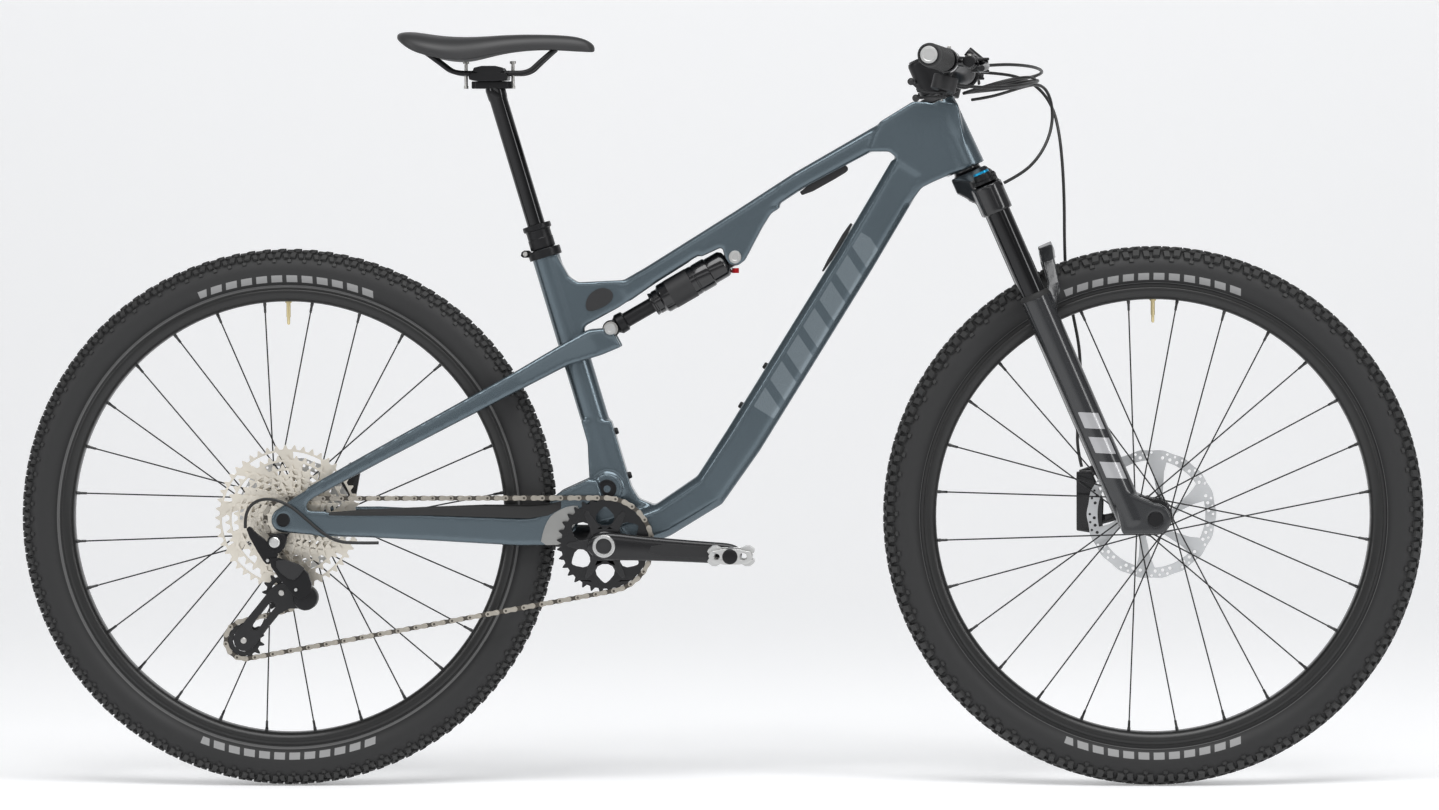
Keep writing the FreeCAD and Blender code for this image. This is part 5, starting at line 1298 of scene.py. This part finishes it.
def pedals():
    """Clipless pedals: a dark axle body, two silver side cheeks, silver claws and a steel spring."""
    for side, name in ((1, "right"), (-1, "left")):
        centre = joint_at(name + "_pedal_spin")
        out = -Y_AXIS * side
        at = flat(centre)
        core, cheeks = Form(), Form()
        core.turned([(91, 7), (96, 7), (97, 9.5), (99, 10.5), (150, 10.5), (152, 9), (152.6, 5)], at, out,
                    40)
        for near, far in ((99, 105), (143, 149)):
            low, high = sorted((out.y * near, out.y * far))
            cheeks.plate(soft([(at.x - 31, at.z - 2), (at.x - 18, at.z - 11), (at.x + 22, at.z - 11),
                               (at.x + 32, at.z - 3), (at.x + 26, at.z + 10), (at.x - 24, at.z + 10)], 1),
                         low, high, [circle(at.x + 18, at.z, 5, 20), circle(at.x - 18, at.z, 4, 20)])
        core.piece("pedal_frame_" + name, name + "_pedal", anodised, "silver", "pedal_" + name, bevel=0.8)
        cheeks.piece("pedal_cheeks_" + name, name + "_pedal", silver, "silver", bevel=0.8)
        claws = Form()
        low, high = sorted((out.y * 108, out.y * 140))
        for rise in (1, -1):
            claws.plate(soft([(at.x + 12, at.z + rise * 9), (at.x + 24, at.z + rise * 15),
                              (at.x + 34, at.z + rise * 9), (at.x + 32, at.z + rise * 3),
                              (at.x + 20, at.z + rise * 8)], 1), low, high)
            claws.plate(soft([(at.x - 10, at.z + rise * 9), (at.x - 22, at.z + rise * 15),
                              (at.x - 32, at.z + rise * 8), (at.x - 28, at.z + rise * 2),
                              (at.x - 18, at.z + rise * 8)], 1), low, high)
        claws.piece("pedal_claws_" + name, name + "_pedal", silver, "silver", bevel=0.6)
        spring = Form()
        turns = []
        for step in range(97):
            angle = 2 * math.pi * step / 16
            along = 112 + 24 * step / 96
            turns.append(Vector((at.x - 16 + 6 * math.cos(angle), out.y * along,
                                 at.z + 6 * math.sin(angle))))
        spring.tube(turns, 1.5, 8)
        spring.piece("pedal_spring_" + name, name + "_pedal", steel, "steel")


# ---------------------------------------------------------------- fork

def fork():
    """Crown and steerer, stanchions, lowers with arch and wipers, axle, caliper, knobs and headset races."""
    crown = moulded("fork_crown", ("fork_upper",), "steering", gloss_black, 1.7, 7)
    cut_below(crown, steer_at(SOCKET_LOW - 0.3), STEER_UP)
    moulded("fork_casting", ("fork_lowers",), "fork_slider", fork_paint, 1.7, 8)
    moulded("front_caliper_body", ("front_caliper",), "fork_slider", gloss_black, 0.9, 5)
    tubes, wipers, knobs, ends = Form(), Form(), Form(), Form()
    for side in (-1, 1):
        foot = steer_at(0, LEG_AHEAD, side * LEG_Y)
        tubes.turned([(SEAL - 60, 16.9), (SEAL - 58, STANCHION_RADIUS), (SOCKET_LOW + 2, STANCHION_RADIUS),
                      (SOCKET_LOW + 3, 16.5)], foot, STEER_UP, 72)
        wipers.turned([(SEAL - 3, 20.6), (SEAL + 0.5, 20.8), (SEAL + 2.5, 20), (SEAL + 4, 18.8),
                       (SEAL + 4.5, 17.3)], foot, STEER_UP, 72)
        upper = [(5, 13), (12, 12.4), (14, 11), (14.6, 4)] if side < 0 else [(6, 13.5), (7, 6)]
        knobs.turned([(0, 15), (4, 15)] + upper, steer_at(CROWN - 12, LEG_AHEAD, side * LEG_Y), STEER_UP, 40)
        ends.turned([(0, 10), (-3, 9), (-6, 6.5), (-6.4, 3)], steer_at(7.5, LEG_AHEAD, side * LEG_Y),
                    STEER_UP, 32)
    tubes.piece("stanchion_tubes", "steering", stanchion_black, "fork_black", crease=25)
    wipers.piece("fork_wipers", "fork_slider", rubber_black, "black_plastic", crease=25)
    knobs.piece("crown_caps", "steering", anodised, "dark_metal", crease=25)
    ends.piece("leg_nuts", "fork_slider", anodised, "dark_metal", crease=25)
    blue = Form().turned([(0, 10.4), (0.6, 11.2), (3.4, 11.2), (4, 10.4), (4, 6)],
                         steer_at(CROWN + 1, LEG_AHEAD, -LEG_Y), STEER_UP, 40)
    blue.piece("crown_dial", "steering", knob_blue, "dark_metal", crease=25)
    axle = Form().turned([(-89, 5), (-89, 9), (-88, 10), (-85, 10), (-84, 7), (84, 7), (85, 10), (88, 10),
                          (89, 9), (89, 5)], FRONT_AXLE, Y_AXIS, 40)
    axle.piece("front_axle_ends", "fork_slider", anodised, "dark_metal", "front_axle", crease=25)
    bearing = Form()
    for low in (HEAD_LOW + 1, HEAD_TOP - 9):
        bearing.turned([(0, 19.2), (0, 21.6), (8, 21.6), (8, 19.2)], steer_at(low), STEER_UP, 48,
                       closed=True)
    bearing.piece("headset_races", "frame", steel, "steel", "frame_bearings", crease=25)


# ---------------------------------------------------------------- cockpit

def bar_profile(side):
    """The handlebar's centre line from the middle outwards, with its radius at each point."""
    points, radii = [], []
    for share in (0, 0.5, 1):
        points.append(Vector((BAR_MIDDLE.x, 48 * side * share, BAR_MIDDLE.z)))
        radii.append(BAR_CLAMP_RADIUS)
    start, bend = Vector((BAR_MIDDLE.x, 52, BAR_MIDDLE.z)), BAR_BEND
    for step in range(1, 6):
        share = step / 6
        points.append(Vector((start.x + (bend.x - start.x) * share,
                              side * (start.y + (bend.y - start.y) * share),
                              start.z + (bend.z - start.z) * (share * share * (3 - 2 * share)))))
        radii.append(BAR_CLAMP_RADIUS - 4.8 * share)
    for y in (100, 150, 250, 381):
        points.append(on_bar(y, side))
        radii.append(BAR_END_RADIUS)
    return points, radii


def handlebar():
    """The bar and the grips, with their rings and end caps."""
    bar = Form()
    for side in (-1, 1):
        points, radii = bar_profile(side)
        bar.tube(points, radii, 32)
    bar.piece("bar_tube", "steering", anodised, "dark_metal", "handlebar", crease=50)
    sleeves, rings_form, caps = Form(), Form(), Form()
    for side in (-1, 1):
        out = Vector((SWEPT.x, SWEPT.y * side, SWEPT.z))
        inner = on_bar(255, side)
        profile = [(0, 11.4), (0, 15.2), (2, 16)]
        ribs, apart = 22, 5.2
        for number in range(ribs):
            at = 6 + number * apart
            profile += [(at, 16), (at + 0.8, 15.1), (at + 2.2, 15.1), (at + 3, 16)]
        profile += [(124, 16), (127, 15.8), (130, 15), (130.6, 11)]
        sleeves.turned(profile, inner, out, 48)
        rings_form.turned([(-9, 11.3), (-9, 14), (-8.4, 14.6), (-0.6, 14.6), (0, 14), (0, 11.3)], inner, out,
                          40)
        rings_form.turned([(129, 13), (130.8, 13.4), (131.4, 12.6), (131.4, 4)], inner, out, 40)
        caps.turned([(130.6, 11.6), (132, 11.4), (132.2, 8.2), (131.6, 7.8)], inner, out, 40)
    caps.piece("grip_end_rings", "steering", silver, "silver", crease=30)
    sleeves.piece("grip_sleeves", "steering", grip_rubber, "grip_rubber", "grips", crease=40)
    rings_form.piece("grip_rings", "steering", anodised, "dark_metal", crease=25)


def stem():
    """The stem, its bolts and its top cap."""
    moulded("stem_body", ("stem",), "steering", anodised, 1.1, 6)
    screws = Form()
    for side in (-1, 1):
        for rise in (-12, 12):
            face = BAR_MIDDLE + Vector((20.4, 15 * side, rise))
            screws.screw(face, Vector((1, 0, 0.1)), 3.2, 2.4)
        back = steer_at(HEAD_TOP + 24 + 12 * (side > 0), -17.5, -7)
        screws.screw(back, -STEER_AHEAD, 3.2, 2.4)
    top = steer_at(HEAD_TOP + 61)
    screws.turned([(0, 15), (1.6, 15), (2.4, 14), (2.4, 5), (1, 4)], top, STEER_UP, 40)
    screws.piece("stem_bolts", "steering", gloss_black, "dark_metal", crease=25)


def controls():
    """Lever housings, levers, shifter, paddles and remotes."""
    for name, node, body, look, size in (
            ("master_cylinders", "brake_clamps", "steering", gloss_black, 0.8),
            ("lever_blade_right", "brake_lever_right", "right_brake_lever", forged_black, 0.7),
            ("lever_blade_left", "brake_lever_left", "left_brake_lever", forged_black, 0.7),
            ("shifter_shell", "shifter_body", "steering", plastic_black, 0.8),
            ("remote_shell", "remote_body", "steering", plastic_black, 0.8),
            ("paddle_upper", "shift_paddle_upper", "upper_paddle", plastic_black, 0.5),
            ("paddle_lower", "shift_paddle_lower", "lower_paddle", plastic_black, 0.5),
            ("remote_lever", "dropper_lever", "seatpost_lever", anodised, 0.5)):
        moulded(name, (node,), body, look, size,
                5)
    details = Form()
    for side in (-1, 1):
        details.screw(on_bar(226, side, 4, 17), Vector((0, 0, 1)), 2.6, 2)
        details.screw(on_bar(236, side, 32, 6.5), Vector((0, 0, 1)), 3, 1.6)
    details.screw(on_bar(200, -1, 0, -15.5), Vector((0.5, 0, -1)), 2.4, 2)
    details.piece("control_bolts", "steering", steel, "steel", crease=25)


# ---------------------------------------------------------------- saddle

SADDLE_STATIONS = [
    # x, top, bottom of the sides, half width
    (-444, 1041, 1036, 38), (-437, 1044.5, 1028, 58), (-420, 1045, 1015, 69), (-398, 1041.5, 1009, 73.5),
    (-376, 1038.5, 1004, 70), (-352, 1037.5, 1002, 60), (-328, 1038, 1007, 47), (-300, 1040, 1014, 36),
    (-268, 1041, 1018, 29), (-236, 1040.5, 1019, 24.5), (-206, 1039, 1017, 21), (-188, 1035.5, 1016, 18),
    (-177, 1030, 1015.5, 13), (-171.5, 1024, 1016, 5)]


def saddle_loop(x, top, bottom, half):
    """One rib of the saddle: a crowned top, sides that turn down, and a flatter base inside them."""
    height = top - bottom
    right = [(0.30, 0.0), (0.58, -0.05), (0.82, -0.19), (0.96, -0.46), (1.0, -0.74), (0.965, -1.0),
             (0.86, -0.94), (0.6, -0.74), (0.3, -0.64)]
    middle_dip = 1.6 * min(1, half / 50)
    points = [Vector((x, 0, top - middle_dip))]
    points += [Vector((x, half * share, top + height * drop)) for share, drop in right]
    points += [Vector((x, 0, top - height * 0.62))]
    points += [Vector((x, -half * share, top + height * drop)) for share, drop in reversed(right)]
    return points


def seat():
    """The saddle's cover, its rails, clamp and bolts."""
    form = Form()
    form.rings([saddle_loop(*station) for station in SADDLE_STATIONS])
    cover = form.piece("saddle_pad", "seatpost", saddle_cover, subdivide=2)
    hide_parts("saddle")
    rails = Form()
    for y in (-22, 22):
        route = ((-404, y * 1.5, 1016), (-384, y, 1001), (-366, y, 987), (-330, y, 987), (-290, y, 987),
                 (-262, y, 987), (-246, y * 0.8, 1003), (-226, y * 0.5, 1020))
        path = centreline([Vector(point) * MM for point in route])
        rails.tube([p / MM for p in path], 3.5, 16)
    rails.piece("rail_pair", "seatpost", anodised, "dark_metal", "saddle_rails_and_clamp")
    clamp = Form()
    clamp.plate(soft([(-343, 976), (-292, 976), (-290, 984), (-296, 988), (-338, 988), (-345, 984)], 1), -30,
                30)
    for side in (-1, 1):
        low, high = sorted((side * 14, side * 30))
        clamp.plate(soft([(-340, 987), (-294, 987), (-298, 997), (-336, 997)], 1), low, high)
    clamp.piece("rail_clamp", "seatpost", anodised, "dark_metal", "saddle_rails_and_clamp", bevel=1.0)
    bolts = Form()
    for x in (-350, -285):
        bolts.turned([(966, 3.2), (970, 3.2), (970, 2.4), (1000, 2.4), (1001, 4.6), (1004, 4.2)],
                     Vector((x, 0, 0)), Vector((0, 0, 1)), 20)
    bolts.piece("clamp_bolts", "seatpost", steel, "steel", crease=25)


# ---------------------------------------------------------------- the whole bike

make_camera()
control_cables()
fork_cable()
front_brake_hose()
rear_shift_cable()
make_floor()
make_lights()
frame_parts()
dropper_parts()
bolt_heads()
frame_fittings()
swingarm_parts()
shock()
wheels()
cassette()
chain()
crank_arms()
chainring()
pulleys()
derailleur()
pedals()
fork()
handlebar()
stem()
controls()
seat()
